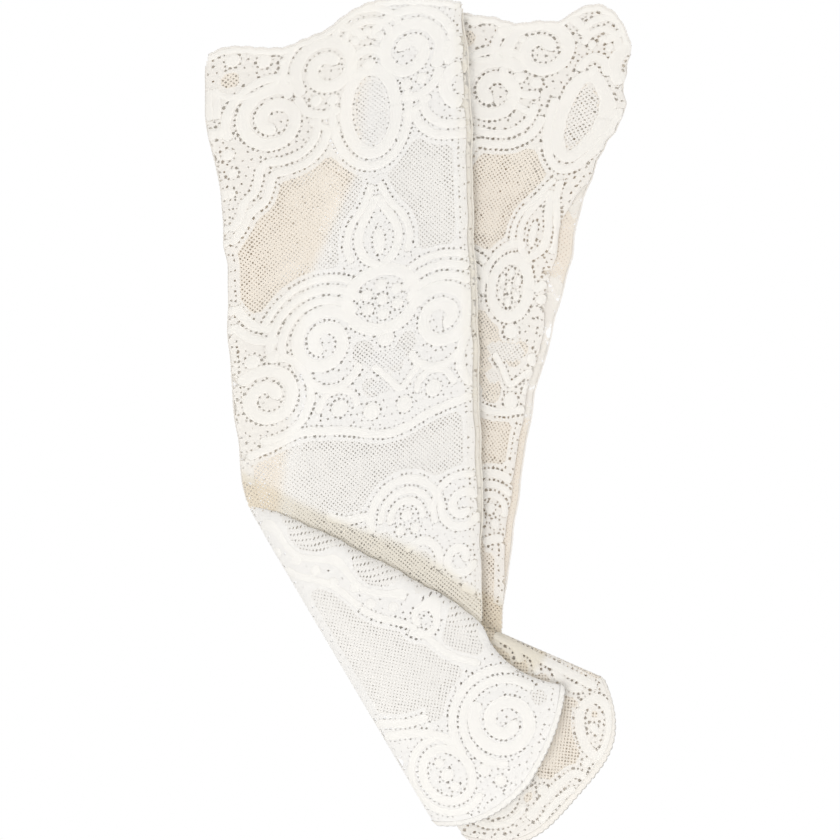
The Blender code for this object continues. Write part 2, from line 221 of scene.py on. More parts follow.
def toWorld(plan, z):
    x = plan[..., 0] + lie["settled"][0]
    y = plan[..., 1] + lie["settled"][1]
    return np.stack([x, y, np.broadcast_to(z, x.shape)], axis=-1) * 0.001


def toPlan(points):  # back from the world, in millimetres
    return points[:, :2] - np.array(lie["settled"])


def layerBase(g, upper, plan):  # the middle of a layer of lace where it lies flat
    base = restHeight(g, plan) + 0.5 * lie["lace"]
    return base + lie["lace"] + lie["gap"] if upper else base


def bowed(a, full, share, plan, phase):
    # upper lace bows up between the seams, low at the crease and full beyond it, with slack waves
    low = drape["dip"] * lie["creaseLoft"]
    return (low + (full - low) * share) * bow(a), ripple(plan, phase) * bow(a) * share


def sleeveHeight(g, upper, a, s, plan):
    base = layerBase(g, upper, plan)
    if not upper:
        return base
    dip = smooth((creaseLine(g, a) - s) / drape["dipReach"])
    loft, slack = bowed(a, drape["sleeveLoft"], dip, plan, drape["sleevePhase"])
    return base + loft + slack


def layOnSleeve(g, upper, uv, height):  # lace units across and millimetres from the cuff line, to the world
    a = np.clip(uv[..., 0] / halfWidth, -1.0, 1.0)
    s = uv[..., 1] - g["skew"] * a
    plan = sleevePlan(g, a, s)
    z = sleeveHeight(g, upper, a, s, plan) + (height if upper else -height)
    if upper:  # part of the upper layer is drawn in from the right fold and lets the under layer show
        drawn = eased(s, *g["tuck"]) * smooth((a - drape["tuckFrom"]) / (1.0 - drape["tuckFrom"]))
        plan = plan - drawn[..., None] * g["across"]
    return toWorld(plan, z)


def layOnHand(g, upper, uv, height):  # millimetres across and along the hand, to the world
    a, t = handFind(g, handPoint(g, uv))
    a, t = np.clip(a, -1.0, 1.0), np.clip(t, 0.0, 1.0)
    plan = handPlan(g, a, t)
    base = layerBase(g, upper, plan)
    if not upper:
        return toWorld(plan, base - height)
    away = t * np.linalg.norm(handPlan(g, a, np.ones_like(t)) - handPlan(g, a, np.zeros_like(t)), axis=-1)
    roll = smooth(away / lie["rollReach"])
    full = lie["loft"] + (lie["fingerLoft"] - lie["loft"]) * smooth(t)
    loft, slack = bowed(a, full, roll, plan, drape["handPhase"])
    z = base + loft + slack
    # the fold hangs back over the crease, then tucks in: the square of a half sine wave, with a ragged edge
    reach = np.clip(away / drape["overhangReach"], 0.0, 1.0)
    ragged = sum((high * np.sin(turns * a + phase) for high, turns, phase in drape["ragged"]), 1.0)
    back = g["overhang"] * np.sin(np.pi * reach ** drape["hangShape"]) ** 2 * bow(a) * ragged
    return toWorld(plan - back[..., None] * g["creaseNormal"], z + height)


print("pair laid out")


# Ribbons, dots and net are gathered in a bag, and the bag becomes a mesh.
def newBag():
    return dict(points=[], quads=[], uv=[], kind=[], count=0)


def addToBag(bag, points, quads, uv, kind):  # kind 0 clothwork, 1 net, 2 close mesh
    bag["points"].append(points.reshape(-1, 3))
    bag["quads"].append(quads.reshape(-1, 4) + bag["count"])
    bag["uv"].append(uv.reshape(-1, 2))
    bag["kind"].append(np.broadcast_to(kind, quads.size // 4))
    bag["count"] += points.size // 3


def gridQuads(rings, columns, closed=False, wrapped=False):  # quads of a grid; its rows or columns may join up
    row = np.arange(rings if closed else rings - 1)[:, None]
    col = np.arange(columns if wrapped else columns - 1)[None, :]
    nextRow, nextCol = (row + 1) % rings, (col + 1) % columns
    return np.stack([row * columns + col, row * columns + nextCol,
                     nextRow * columns + nextCol, nextRow * columns + col], axis=-1).reshape(-1, 4)


def capQuads(around):  # a ring of an even number of points closed by a strip of quads
    low = np.arange(around // 2 - 1)
    return np.stack([low, low + 1, around - 2 - low, around - 1 - low], axis=-1)


def tubeQuads(rings, around, closed):  # rings joined in a row, with caps at open ends
    walls, cap = gridQuads(rings, around, closed, True), capQuads(around)
    return walls if closed else np.concatenate([walls, cap[:, ::-1], cap + (rings - 1) * around])


def lengths(path):  # how far along a path each of its points is
    return np.concatenate([[0.0], np.cumsum(np.linalg.norm(np.diff(path, axis=0), axis=1))])


def resample(path, step, closed=False, whole=round):  # evenly spaced points along a path
    if closed:
        path = np.concatenate([path, path[:1]])
    length = lengths(path)
    at = np.linspace(0.0, length[-1], max(4, int(whole(length[-1] / step)) + 1))
    out = np.stack([np.interp(at, length, path[:, k]) for k in range(path.shape[1])], axis=-1)
    return out[:-1] if closed else out


def wayAlong(path, closed=False):  # unit steps along a path
    return unit(np.roll(path, -1, axis=0) - np.roll(path, 1, axis=0) if closed else np.gradient(path, axis=0))


def normals(path, closed=False):  # left-hand normals of a plan path
    way = wayAlong(path, closed)
    return pair(-way[:, 1], way[:, 0])


drawing = dict(curveSteps=12, arcStep=6, arcLeast=8, spiralFrom=0.42, spiralSteps=40)  # arc steps in degrees


def curve(*points):  # a Catmull-Rom curve through the points
    p = np.array(points, float)
    p = np.concatenate([2 * p[:1] - p[1:2], p, 2 * p[-1:] - p[-2:-1]])
    p0, p1, p2, p3 = (p[k:len(p) - 3 + k, None] for k in range(4))
    t = np.linspace(0.0, 1.0, drawing["curveSteps"] + 1)[:-1, None]
    path = 0.5 * (2 * p1 + (p2 - p0) * t + (2 * p0 - 5 * p1 + 4 * p2 - p3) * t ** 2
                  + (3 * p1 - p0 - 3 * p2 + p3) * t ** 3)
    return np.concatenate([path.reshape(-1, 2), p[-2:-1]])


def arc(x, y, rx, ry, first, last):  # part of an ellipse between two angles in degrees, 90 towards the fingers
    steps = max(drawing["arcLeast"], int(abs(last - first) / drawing["arcStep"]))
    angle = np.radians(np.linspace(first, last, steps))
    return pair(x + rx * np.cos(angle), y + ry * np.sin(angle))


def spiral(x, y, pitch, turns, last, way):  # radius grows by pitch each turn, and ends at the angle last
    steps = int(turns * drawing["spiralSteps"])
    theta = np.linspace(drawing["spiralFrom"] * 2 * np.pi, turns * 2 * np.pi, steps)
    angle = np.radians(last) + way * (theta - theta[-1])
    radius = pitch * theta / (2 * np.pi)
    return pair(x + radius * np.cos(angle), y + radius * np.sin(angle))


def ribbon(path, width, holes=0, closed=False, bare=False):
    # holes is the side with pinholes, 1 to its left; a bare one has close work and no ribbon on it
    return dict(path=path, width=width, holes=holes, closed=closed, bare=bare)


def dot(x, y, rx, ry=None, holes=1):
    return dict(dot=(x, y), size=(rx, ry or rx), holes=holes, bare=False)


def closeMesh(x, y, rx, ry):  # an oval of fine net in the close work
    return dict(dot=(x, y), size=(rx, ry), holes=0, bare=True)


def moved(parts, scale, x, y):  # scaled across, mirrored where the scale is negative, then shifted
    turn, shift, side = np.array([scale, 1.0]), np.array([x, y]), 1 if scale > 0 else -1
    out = []
    for m in parts:
        if "dot" in m:
            size = (m["size"][0] * abs(scale), m["size"][1])
            out.append(dict(m, dot=tuple(np.array(m["dot"]) * turn + shift), size=size))
        else:
            out.append(dict(m, path=m["path"] * turn + shift, holes=m["holes"] * side))
    return out


def mirrored(parts):
    return moved(parts, -1.0, 0.0, 0.0)


strand = dict(  # the section of a ribbon, and the rings of a dot
    step=0.9, shortest=4, thick=0.26, lift=0.04, uneven=0.05, blunt=0.12, sides=12, dome=1.6,
    across=np.array([-0.5, -0.4, -0.2, 0.0, 0.2, 0.4, 0.5]), up=np.array([0.0, 0.6, 0.92, 1.0, 0.92, 0.6, 0.0]),
    rings=np.array([1.0, 0.88, 0.6, 0.15]))


def addRibbon(bag, path, width, closed, patch):
    # a low crowned section carried along the path, its width waving a little, rounded off at its ends
    along = lengths(path)
    end = np.full(len(path), 1.0)
    if not closed:
        near = np.clip(np.minimum(along, along[-1] - along) / (0.5 * width) + strand["blunt"], 0.0, 1.0)
        end = np.sqrt(1.0 - (1.0 - near) ** 2)
    waves = 1.0 + strand["uneven"] * (np.sin(along / 1.3) + 0.7 * np.sin(along / 0.61 + 1.0))
    across = strand["across"][None, :] * width * (end * waves)[:, None]
    uv = path[:, None, :] + normals(path, closed)[:, None, :] * across[..., None]
    height = strand["lift"] + strand["up"][None, :] * strand["thick"] * end[:, None]
    points = patch["lay"](patch["limit"](uv), height)
    addToBag(bag, points, gridQuads(*across.shape, closed), pair(along[:, None], across), 0)


def addDot(bag, centre, size, patch):  # a low dome: rings of twelve whose height falls as the root of 1 - r^2
    sides, share = strand["sides"], strand["rings"]
    angle = np.linspace(0.0, 2 * np.pi, sides, endpoint=False)
    rise = strand["lift"] + np.sqrt(1.0 - share ** 2) * strand["thick"] * strand["dome"]
    circle = pair(np.cos(angle) * size[0], np.sin(angle) * size[1])
    uv = np.array(centre) + share[:, None, None] * circle[None]
    points = patch["lay"](patch["limit"](uv), np.broadcast_to(rise[:, None], uv.shape[:-1]))
    quads = [gridQuads(len(share), sides, wrapped=True), capQuads(sides) + (len(share) - 1) * sides]
    addToBag(bag, points, np.concatenate(quads), uv - np.array(centre), 0)


def runs(keep):  # first and last index of each run of True
    edge = np.flatnonzero(np.diff(np.concatenate([[0], keep.astype(int), [0]])))
    return edge.reshape(-1, 2)


def addMotifs(bag, motifs, patch):
    def inside(uv):
        return patch["inside"](uv) & ~patch["worn"](uv)

    for m in motifs:
        if m["bare"]:
            continue
        if "dot" in m:
            if inside(np.array(m["dot"])[None])[0]:
                addDot(bag, m["dot"], m["size"], patch)
            continue
        path = resample(m["path"], strand["step"], m["closed"])
        keep = inside(path)
        pieces = [(path, m["closed"])]
        if not keep.all():
            if m["closed"]:
                turn = int(np.flatnonzero(~keep)[0])
                path, keep = np.roll(path, -turn, axis=0), np.roll(keep, -turn)
            pieces = [(path[i:j], False) for i, j in runs(keep) if j - i >= strand["shortest"]]
        for piece, closed in pieces:
            addRibbon(bag, piece, m["width"], closed, patch)


# Masks are fine grids of True and False over a panel's own units.
maskStep = 0.2
stampStep = 0.18  # a little finer, so that a stamped shape has no gaps


def makeMask(low, high):
    size = np.ceil((np.array(high) - np.array(low)) / maskStep).astype(int) + 1
    return dict(low=np.array(low, float), cells=np.zeros(size, bool))


def grow(cells, reach):  # widen a mask by a reach in millimetres, square and diamond steps by turns
    for k in range(int(round(reach / maskStep))):
        wide = cells.copy()
        wide[1:] |= cells[:-1]
        wide[:-1] |= cells[1:]
        source = wide.copy() if k % 2 else cells
        wide[:, 1:] |= source[:, :-1]
        wide[:, :-1] |= source[:, 1:]
        cells = wide
    return cells


def shrink(cells, reach):
    return ~grow(~cells, reach)


def stamp(mask, points):
    at = np.round((points.reshape(-1, 2) - mask["low"]) / maskStep).astype(int)
    inside = np.all((at >= 0) & (at < mask["cells"].shape), axis=1)
    mask["cells"][at[inside, 0], at[inside, 1]] = True


def stampOval(mask, centre, size):
    x, y = [(mask["low"][k] + np.arange(mask["cells"].shape[k]) * maskStep - centre[k]) / size[k]
            for k in (0, 1)]
    mask["cells"] |= x[:, None] ** 2 + y[None, :] ** 2 <= 1.0


def isMasked(mask, points):
    at = np.round((points - mask["low"]) / maskStep).astype(int)
    at = np.clip(at, 0, np.array(mask["cells"].shape) - 1)
    return mask["cells"][at[..., 0], at[..., 1]]


ground = dict(step=0.4, drop=0.08, inset=0.5, marginPins=2.4, margin=1.4, bridge=3.0, tuck=0.8, jitter=0.09)
pins = dict(  # pinholes beside the ribbons, and eyelets strewn over the close work
    seed=21, every=2.15, at=0.52, size=(0.48, 0.39), uneven=0.6, least=-1.0, most=0.8, mean=0.92, facing=0.08,
    missing=0.1, narrow=2.5, narrowMissing=4.0, apart=1.3, eyelets=3.2, eyeletSize=0.32, eyeletShift=0.35,
    eyeletApart=1.2, eyeletSpread=(0.6, 1.3))
net = dict(
    pitch=1.34, hole=0.27, tight=0.84, handTight=0.1, fine=0.8, uneven=0.25, spread=(0.7, 1.25), loose=0.03,
    looseWorn=1.5, looseSize=1.7, largest=0.42, border=4.0, borderMore=0.3, wornLess=0.1, drop=0.16,
    wobble=0.12)
discX, discY = np.meshgrid(np.arange(-1.0, 1.01, 0.04), np.arange(-1.0, 1.01, 0.04))
disc = pair(discX, discY)[discX * discX + discY * discY <= 1.0]


def stampMotif(masks, m):
    inset = -ground["inset"]
    if "dot" in m:
        rings = (("motif", 0.0), ("core", inset), ("ground", ground["marginPins"]))
        for key, more in (("fine", 0.0),) if m["bare"] else rings:
            stampOval(masks[key], m["dot"], np.array(m["size"]) + more)
        return
    path = resample(m["path"], stampStep, m["closed"])
    n = normals(path, m["closed"])
    wide = [ground["marginPins"] if m["holes"] * k > 0 else ground["margin"] for k in (1, -1)]
    sides = (("motif", 0.0, 0.0), ("core", inset, inset), ("ground", *wide))
    for key, left, right in sides[2 * m["bare"]:]:
        offset = np.arange(-0.5 * m["width"] - right, 0.5 * m["width"] + left, stampStep)
        stamp(masks[key], path[:, None, :] + n[:, None, :] * offset[None, :, None])


def pinholes(m, other):  # a row of pinholes beside a motif: centres, and the ways along the row and outwards
    if "dot" in m:
        path, half, sign, closed = arc(*m["dot"], *m["size"], 0, 354), 0.0, -1.0, True
    else:
        path, half, sign, closed = m["path"], 0.5 * m["width"], other * m["holes"], m["closed"]
    row = path + normals(path, closed) * sign * (half + pins["at"])
    row = resample(row, pins["every"], closed)
    n = normals(row, closed) * sign
    return row, pair(n[:, 1], -n[:, 0]), n


def stampPins(masks, motifs, chance, pinShare):  # ovals along the rows, none where a ribbon or another pin is
    rows = [(m, 1) for m in motifs if m["holes"]]
    rows += [(m, -1) for m, _ in rows if not m["bare"] and "dot" not in m]  # smaller on a ribbon's other side
    long, wide = pins["size"]
    for m, other in rows:
        centre, way, out = pinholes(m, other)
        size = pinShare(centre) * (pins["mean"] + pins["facing"] * other) \
            * (1.0 + pins["uneven"] * chance.uniform(pins["least"], pins["most"], len(centre)))
        free = ~isMasked(masks["motif"], centre) & ~isMasked(masks["taken"], centre)
        if "dot" not in m:
            more = 1.0 if m["width"] > pins["narrow"] else pins["narrowMissing"]
            free &= chance.random(len(centre)) > more * pins["missing"]
        centre, way, out, size = centre[free], way[free], out[free], size[free]
        stamp(masks["taken"], centre[:, None, :] + disc[None] * pins["apart"])
        spot = disc[None, :, :1] * long * way[:, None, :] + disc[None, :, 1:] * wide * out[:, None, :]
        stamp(masks["hole"], centre[:, None, :] + spot * size[:, None, None])


def stampEyelets(low, high, masks, chance, pinShare):  # a staggered grid of small round holes, shaken a little
    spread = pins["eyelets"]
    u, v = np.arange(low[0], high[0], spread)[:, None], np.arange(low[1], high[1], spread)
    centre = pair(u + 0.5 * spread * (np.arange(len(v)) % 2), v).reshape(-1, 2)
    centre = centre + chance.uniform(-pins["eyeletShift"], pins["eyeletShift"], centre.shape)
    beside = dict(masks["motif"], cells=grow(masks["motif"]["cells"], pins["eyeletApart"]))
    centre = centre[~isMasked(beside, centre) & ~isMasked(masks["taken"], centre)
                    & isMasked(masks["inner"], centre)]
    size = pinShare(centre) * pins["eyeletSize"] * chance.uniform(*pins["eyeletSpread"], len(centre))
    stamp(masks["hole"], centre[:, None, :] + disc[None] * size[:, None, None])


def makeMasks(low, high, motifs, bridge, pinShare):
    # motif: under ribbons and dots; ground: close work round them, small gaps bridged; hole: the pinholes in it
    masks = {key: makeMask(low, high) for key in ("motif", "core", "ground", "hole", "taken", "fine")}
    for m in motifs:
        stampMotif(masks, m)
    pad = int(bridge / maskStep) + 2
    wide = np.pad(masks["ground"]["cells"], pad, mode="edge")
    close = shrink(grow(wide, bridge), bridge)[pad:-pad, pad:-pad] & ~masks["fine"]["cells"]
    masks["ground"]["cells"] = close
    masks["inner"] = dict(masks["ground"], cells=shrink(close, ground["tuck"]))
    masks["border"] = dict(masks["ground"], cells=grow(close, net["border"]))
    chance = np.random.default_rng(pins["seed"])
    stampPins(masks, motifs, chance, pinShare)
    stampEyelets(low, high, masks, chance, pinShare)
    return masks


def addGround(bag, patch, inZone, seed):
    # a fine square grid of close work, with the grid squares under the ribbons and in the pinholes left out
    low, high, masks, step = patch["low"], patch["high"], patch["masks"], ground["step"]
    knots = pair(np.arange(low[0], high[0], step)[:, None], np.arange(low[1], high[1], step))
    middle = knots[:-1, :-1] + 0.5 * step
    keep = isMasked(masks["ground"], middle) & ~isMasked(masks["core"], middle)
    keep &= ~isMasked(masks["hole"], middle)
    at = middle[keep]
    keep[keep] = patch["inside"](at) & ~patch["worn"](at) & inZone(at[..., 1])
    i, j = np.nonzero(keep)
    number = np.arange(knots.shape[0] * knots.shape[1]).reshape(knots.shape[:2])
    quads = np.stack([number[i, j], number[i + 1, j], number[i + 1, j + 1], number[i, j + 1]], axis=-1)
    used, quads = np.unique(quads, return_inverse=True)
    shaken = np.random.default_rng(seed).uniform(-ground["jitter"], ground["jitter"], (len(used), 2))
    uv = knots.reshape(-1, 2)[used] + shaken
    points = patch["lay"](patch["limit"](uv), np.full(len(uv), -ground["drop"]))
    addToBag(bag, points, quads.reshape(-1, 4), uv, 2)


cellCorners = np.array([[-1, -1], [0, -1], [1, -1], [1, 0], [1, 1], [0, 1], [-1, 1], [-1, 0]], float)
roundHole = unit(cellCorners)
frameQuads = gridQuads(2, 8, wrapped=True)  # a square frame round an eight-sided hole


def addNet(bag, name, patch, inZone, seed):
    # slanting square cells, each a frame round an eight-sided hole; wider holes beside the motifs
    low, high, masks, pitch = patch["low"], patch["high"], patch["masks"], net["pitch"]
    corners = np.array([[low[0], low[1]], [low[0], high[1]], [high[0], low[1]], [high[0], high[1]]])
    phase = np.random.default_rng(seed).uniform(0.0, 2 * np.pi, 6)
    slants = np.array([[1.0, 1.0], [-1.0, 1.0]]) / np.sqrt(2.0)
    rows = [np.arange(np.floor((corners @ w).min() / pitch), (corners @ w).max() / pitch) * pitch
            for w in slants]
    centre = rows[0][:, None, None] * slants[0] + rows[1][None, :, None] * slants[1]
    centre = centre[np.all((centre > low) & (centre < high), axis=-1)]
    centre = centre[patch["inside"](centre) & inZone(centre[..., 1])]
    strained = patch["worn"](centre)
    keep = strained | ~isMasked(masks["inner"], centre)
    centre, strained = centre[keep], strained[keep]
    slow = np.sin(centre @ (0.31, 0.17) + phase[0]) * np.sin(centre @ (-0.12, 0.29) + phase[1])
    alone = singleLayer(name, patch["lay"](centre, np.zeros(len(centre))) * 1000.0)
    radius = 1.0 + net["uneven"] * (0.5 + 0.5 * alone) * slow \
        + net["borderMore"] * isMasked(masks["border"], centre) - net["wornLess"] * strained
    tight = net["tight"] - net["handTight"] * ("front_hand" in name)
    radius = net["hole"] * radius * (tight + (1.0 - tight) * np.maximum(alone, strained))
    fine = isMasked(masks["fine"], centre)
    chance = np.random.default_rng(seed + 50)
    radius = radius * np.where(fine, net["fine"], 1.0) * chance.uniform(*net["spread"], len(centre))
    loose = chance.random(len(centre)) < net["loose"] * (alone + net["looseWorn"] * strained)
    radius = np.minimum(radius * np.where(loose, net["looseSize"], 1.0), net["largest"] * pitch)
    outer = centre[:, None, :] + (0.5 * pitch * cellCorners) @ slants
    hole = centre[:, None, :] + radius[:, None, None] * (roundHole @ slants)[None]
    uv = np.concatenate([outer, hole], axis=1)
    u, v = uv[..., 0], uv[..., 1]
    shift = pair(np.sin(u / 2.9 + phase[0]) * np.sin(v / 3.7 + phase[1]) + np.sin(u / 9 + v / 6 + phase[2]),
                 np.sin(u / 3.3 + phase[3]) * np.sin(v / 2.6 + phase[4]) + np.sin(v / 8 - u / 7 + phase[5]))
    uv = patch["limit"](uv + net["wobble"] * shift)
    points = patch["lay"](uv, np.full(uv.shape[:-1], -net["drop"]))
    quads = frameQuads[None] + 16 * np.arange(len(uv))[:, None, None]
    addToBag(bag, points, quads, uv, np.repeat(np.where(fine, 2, 1), 8))


foldShade = dict(  # how strongly painted shade darkens the lace: in the crease, along the right fold, and on the front sleeve's inner seam cord
    seam=0.7, under=0.7, rightFold=0.2, sideFrom=2.5, underFade=3.0, rightFade=3.5, near=0.75, fade=0.4,
    rearReach=10.0)
apart = dict(lean=12.0, leanFrom=64.0, leanReach=40.0, start=1.0, fade=6.0)  # where the front glove lies alone


def foldShadeShare(name, points):  # share of painted shade: 1 in the crease of each upper panel, 0 away from it; a strip along the front glove's right side and its inner sleeve seam cord get their own shares
    # the front sleeve's inner seam cord gets painted shade all along
    if name == "front_sleeve_inner_overlock":
        return np.full(len(points), foldShade["seam"])
    if "lace" not in name or name.startswith("front_hand") or name.startswith("rear") and "under" in name:
        return np.zeros(len(points))
    g = frontGlove if name.startswith("front") else rearGlove
    first, last = g["creaseEnds"]
    plan = toPlan(points)
    side = beyond(plan, sleevePlan(g, np.array(1.0), np.array(0.0)), last) - foldShade["sideFrom"]
    # painted shade in a strip along the right side of the front under panels
    if "under" in name:
        return foldShade["under"] * (1.0 - smooth(side / foldShade["underFade"]))
    away = np.abs((plan - first) @ g["creaseNormal"])
    if g is rearGlove:
        away = np.maximum(away, np.linalg.norm(plan - last, axis=1) - foldShade["rearReach"])
    span = last - first
    reach = wornReach(2.0 * ((plan - first) @ span) / (span @ span) - 1.0)
    # painted shade along the crease, standing in for the shadow in the fold
    crease = 1.0 - smooth((away - foldShade["near"] * reach) / (foldShade["fade"] * reach))
    if g is rearGlove:
        return crease
    # the front's upper panels also get a weaker painted shade along the right fold
    return np.maximum(crease, foldShade["rightFold"] * (1.0 - smooth(side / foldShade["rightFade"])))


# this share widens the net's holes, and also sets how much painted beige shade the yarn gets
def singleLayer(name, points):  # 1 where one glove lies alone on the table, 0 where there is another under it
    if name.startswith("rear"):
        return np.ones(len(points))
    if "hand" in name:
        return np.zeros(len(points))
    plan = toPlan(points)
    lean = np.clip((plan[:, 1] - apart["leanFrom"]) / apart["leanReach"], 0.0, 1.0)  # further right by the cuff
    return smooth((besideRear(plan) + apart["lean"] * lean - apart["start"]) / apart["fade"])


def addObject(name, data):
    thing = bpy.data.objects.new(name, data)
    bpy.context.scene.collection.objects.link(thing)
    return thing


def makePiece(name, bag, materials, body, node, outward=0):
    mesh = bpy.data.meshes.new(name)
    points = np.concatenate(bag["points"])
    quads = np.concatenate(bag["quads"])
    if outward:  # open cloth: every face looks up on the upper side of a glove and down on the under side
        p, q = points[quads[:, 2]] - points[quads[:, 0]], points[quads[:, 3]] - points[quads[:, 1]]
        wrong = (p[:, 0] * q[:, 1] - p[:, 1] * q[:, 0]) * outward < 0
        quads = np.where(wrong[:, None], quads[:, ::-1], quads)
    mesh.vertices.add(len(points))
    mesh.vertices.foreach_set("co", points.astype(np.float32).ravel())
    mesh.loops.add(quads.size)
    mesh.loops.foreach_set("vertex_index", quads.astype(np.int32).ravel())
    mesh.polygons.add(len(quads))
    mesh.polygons.foreach_set("loop_start", np.arange(0, quads.size, 4, dtype=np.int32))
    mesh.polygons.foreach_set("material_index", np.concatenate(bag["kind"]).astype(np.int32))
    mesh.update(calc_edges=True)
    mesh.validate()
    uvMap = mesh.uv_layers.new(name="yarn")
    corner = np.empty(len(mesh.loops), np.int32)
    mesh.loops.foreach_get("vertex_index", corner)
    uvMap.data.foreach_set("uv", np.concatenate(bag["uv"])[corner].astype(np.float32).ravel())
    if not outward:  # closed cords and bands
        turned = bmesh.new()
        turned.from_mesh(mesh)
        bmesh.ops.recalc_face_normals(turned, faces=turned.faces)
        turned.to_mesh(mesh)
        turned.free()
    mesh.shade_smooth()
    # the shares of painted shade per point: beige where the glove lies alone, brown along the folds
    for label, reading in (("single", singleLayer), ("fold", foldShadeShare)):
        values = mesh.attributes.new(label, "FLOAT", "POINT").data
        values.foreach_set("value", reading(name, points * 1000.0).astype(np.float32))
    for material in materials:
        mesh.materials.append(material)
    piece = addObject(name, mesh)
    if isinstance(body, str):
        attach(piece, body)
    else:
        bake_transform(piece)
    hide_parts(node)
    return piece


# Materials: one group of stitches, used by each kind of yarn.
def feed(tree, node, sockets):  # each socket gets a value, or a link from another socket
    for label, value in sockets.items():
        if isinstance(value, bpy.types.NodeSocket):
            tree.links.new(value, node.inputs[label])
        else:
            node.inputs[label].default_value = value


def addNode(tree, kind, sockets=(), **settings):
    node = tree.nodes.new("ShaderNode" + kind)
    for key, value in settings.items():
        setattr(node, key, value)
    feed(tree, node, dict(sockets))
    return node


def mathNode(tree, operation, *values):
    return addNode(tree, "Math", dict(enumerate(values)), operation=operation).outputs[0]


def mixNode(tree, factor, a, b, way="MIX"):
    node = addNode(tree, "Mix", dict(Factor=factor, A=a, B=b), data_type="RGBA", blend_type=way)
    return node.outputs["Result"]


def opaque(colour):
    return (*colour, 1.0)


finish = dict(  # mottling and fuzz are repeats a metre; stitch and mottle are shares of the colour's change
    mottling=240.0, fuzz=2600.0, stitch=0.45, mottle=0.55, fuzzHeight=0.5, rough=0.68, roughMore=0.2,
    # paintedFoldShade: the brown painted shade multiplied into the yarn along the folds
    paintedFoldShade=(0.9, 0.868, 0.795), bumpDepth=0.0002, sheen=0.05, sheenRough=0.45, specular=0.25, through=0.28)


def yarnGroup():  # rows of fine stitches along and across the yarn's own map, with a soft mottling over them
    group = bpy.data.node_groups.new("stitched yarn", "ShaderNodeTree")
    vector, colour, number = "NodeSocketVector", "NodeSocketColor", "NodeSocketFloat"
    starts = {vector: (0.0, 0.0, 0.0), colour: (1.0, 1.0, 1.0, 1.0), number: 0.0}
    inputs = dict(Map=vector, Place=vector, Pale=colour, Deep=colour, Tint=colour, Single=number, FoldShade=number,
                  Along=number, Across=number, Slant=number)
    for label, kind in inputs.items():
        group.interface.new_socket(label, in_out="INPUT", socket_type=kind).default_value = starts[kind]
    for label, kind in dict(Colour=colour, Height=number, Rough=number).items():
        group.interface.new_socket(label, in_out="OUTPUT", socket_type=kind)
    given = group.nodes.new("NodeGroupInput").outputs
    x, y, _ = addNode(group, "SeparateXYZ", {0: given["Map"]}).outputs
    slanted = mathNode(group, "MULTIPLY", y, given["Slant"])
    rows = mathNode(group, "ADD", mathNode(group, "MULTIPLY", x, given["Along"]), slanted)
    columns = mathNode(group, "MULTIPLY", y, given["Across"])
    crossed = mathNode(group, "MULTIPLY", mathNode(group, "SINE", rows), mathNode(group, "SINE", columns))
    stitch = mathNode(group, "MULTIPLY_ADD", crossed, 0.5, 0.5)
    mottling, fuzz = (
        addNode(group, "TexNoise", dict(Scale=finish[key], Detail=detail, Vector=given["Place"])).outputs[0]
        for key, detail in (("mottling", 3.0), ("fuzz", 2.0)))
    mottle = mathNode(group, "MULTIPLY", mottling, finish["mottle"])
    amount = mathNode(group, "MULTIPLY_ADD", stitch, finish["stitch"], mottle)
    yarn = mixNode(group, amount, given["Deep"], given["Pale"])
    # painted shade: a beige multiplied in where the glove lies alone
    aloneShaded = mixNode(group, given["Single"], yarn, given["Tint"], "MULTIPLY")
    # painted shade: brown multiplied in along the folds
    foldShaded = mixNode(group, given["FoldShade"], aloneShaded, opaque(finish["paintedFoldShade"]), "MULTIPLY")
    feed(group, group.nodes.new("NodeGroupOutput"), dict(
        Colour=foldShaded, Height=mathNode(group, "MULTIPLY_ADD", fuzz, finish["fuzzHeight"], stitch),
        Rough=mathNode(group, "MULTIPLY_ADD", fuzz, finish["roughMore"], finish["rough"])))
    return group


stitchedYarn = yarnGroup()


def newMaterial(name):
    material = bpy.data.materials.new(name)
    material.use_nodes = True
    return material, material.node_tree, material.node_tree.nodes["Principled BSDF"]


def mixShaders(tree, share, first, second):  # what the surface shows: a share of the second shader
    mix = addNode(tree, "MixShader", {"Fac": share, 1: first.outputs[0], 2: second.outputs[0]})
    feed(tree, tree.nodes["Material Output"], dict(Surface=mix.outputs[0]))


def yarnMaterial(name, pale, deep, aloneShade, along, across, slant, bump):
    material, tree, shader = newMaterial(name)
    # the two attributes carry the shares of painted shade: beige where the glove lies alone, brown along the
    # folds
    alone, crease = (addNode(tree, "Attribute", attribute_name=label).outputs["Fac"]
                     for label in ("single", "fold"))
    yarn = addNode(tree, "Group", dict(
        Map=addNode(tree, "UVMap", uv_map="yarn").outputs["UV"],
        Place=addNode(tree, "TexCoord").outputs["Object"],
        Single=alone, FoldShade=crease, Pale=opaque(pale), Deep=opaque(deep), Tint=opaque(aloneShade),
        Along=along, Across=across, Slant=slant), node_tree=stitchedYarn).outputs
    raised = addNode(tree, "Bump", dict(Strength=bump, Distance=finish["bumpDepth"], Height=yarn["Height"]))
    feed(tree, shader, {
        "Base Color": yarn["Colour"], "Roughness": yarn["Rough"], "Normal": raised.outputs["Normal"],
        "Sheen Weight": finish["sheen"], "Sheen Roughness": finish["sheenRough"],
        "Specular IOR Level": finish["specular"]})
    passed = addNode(tree, "BsdfTranslucent", dict(Color=yarn["Colour"]))  # thin lace lets some light through
    mixShaders(tree, finish["through"], shader, passed)
    return material


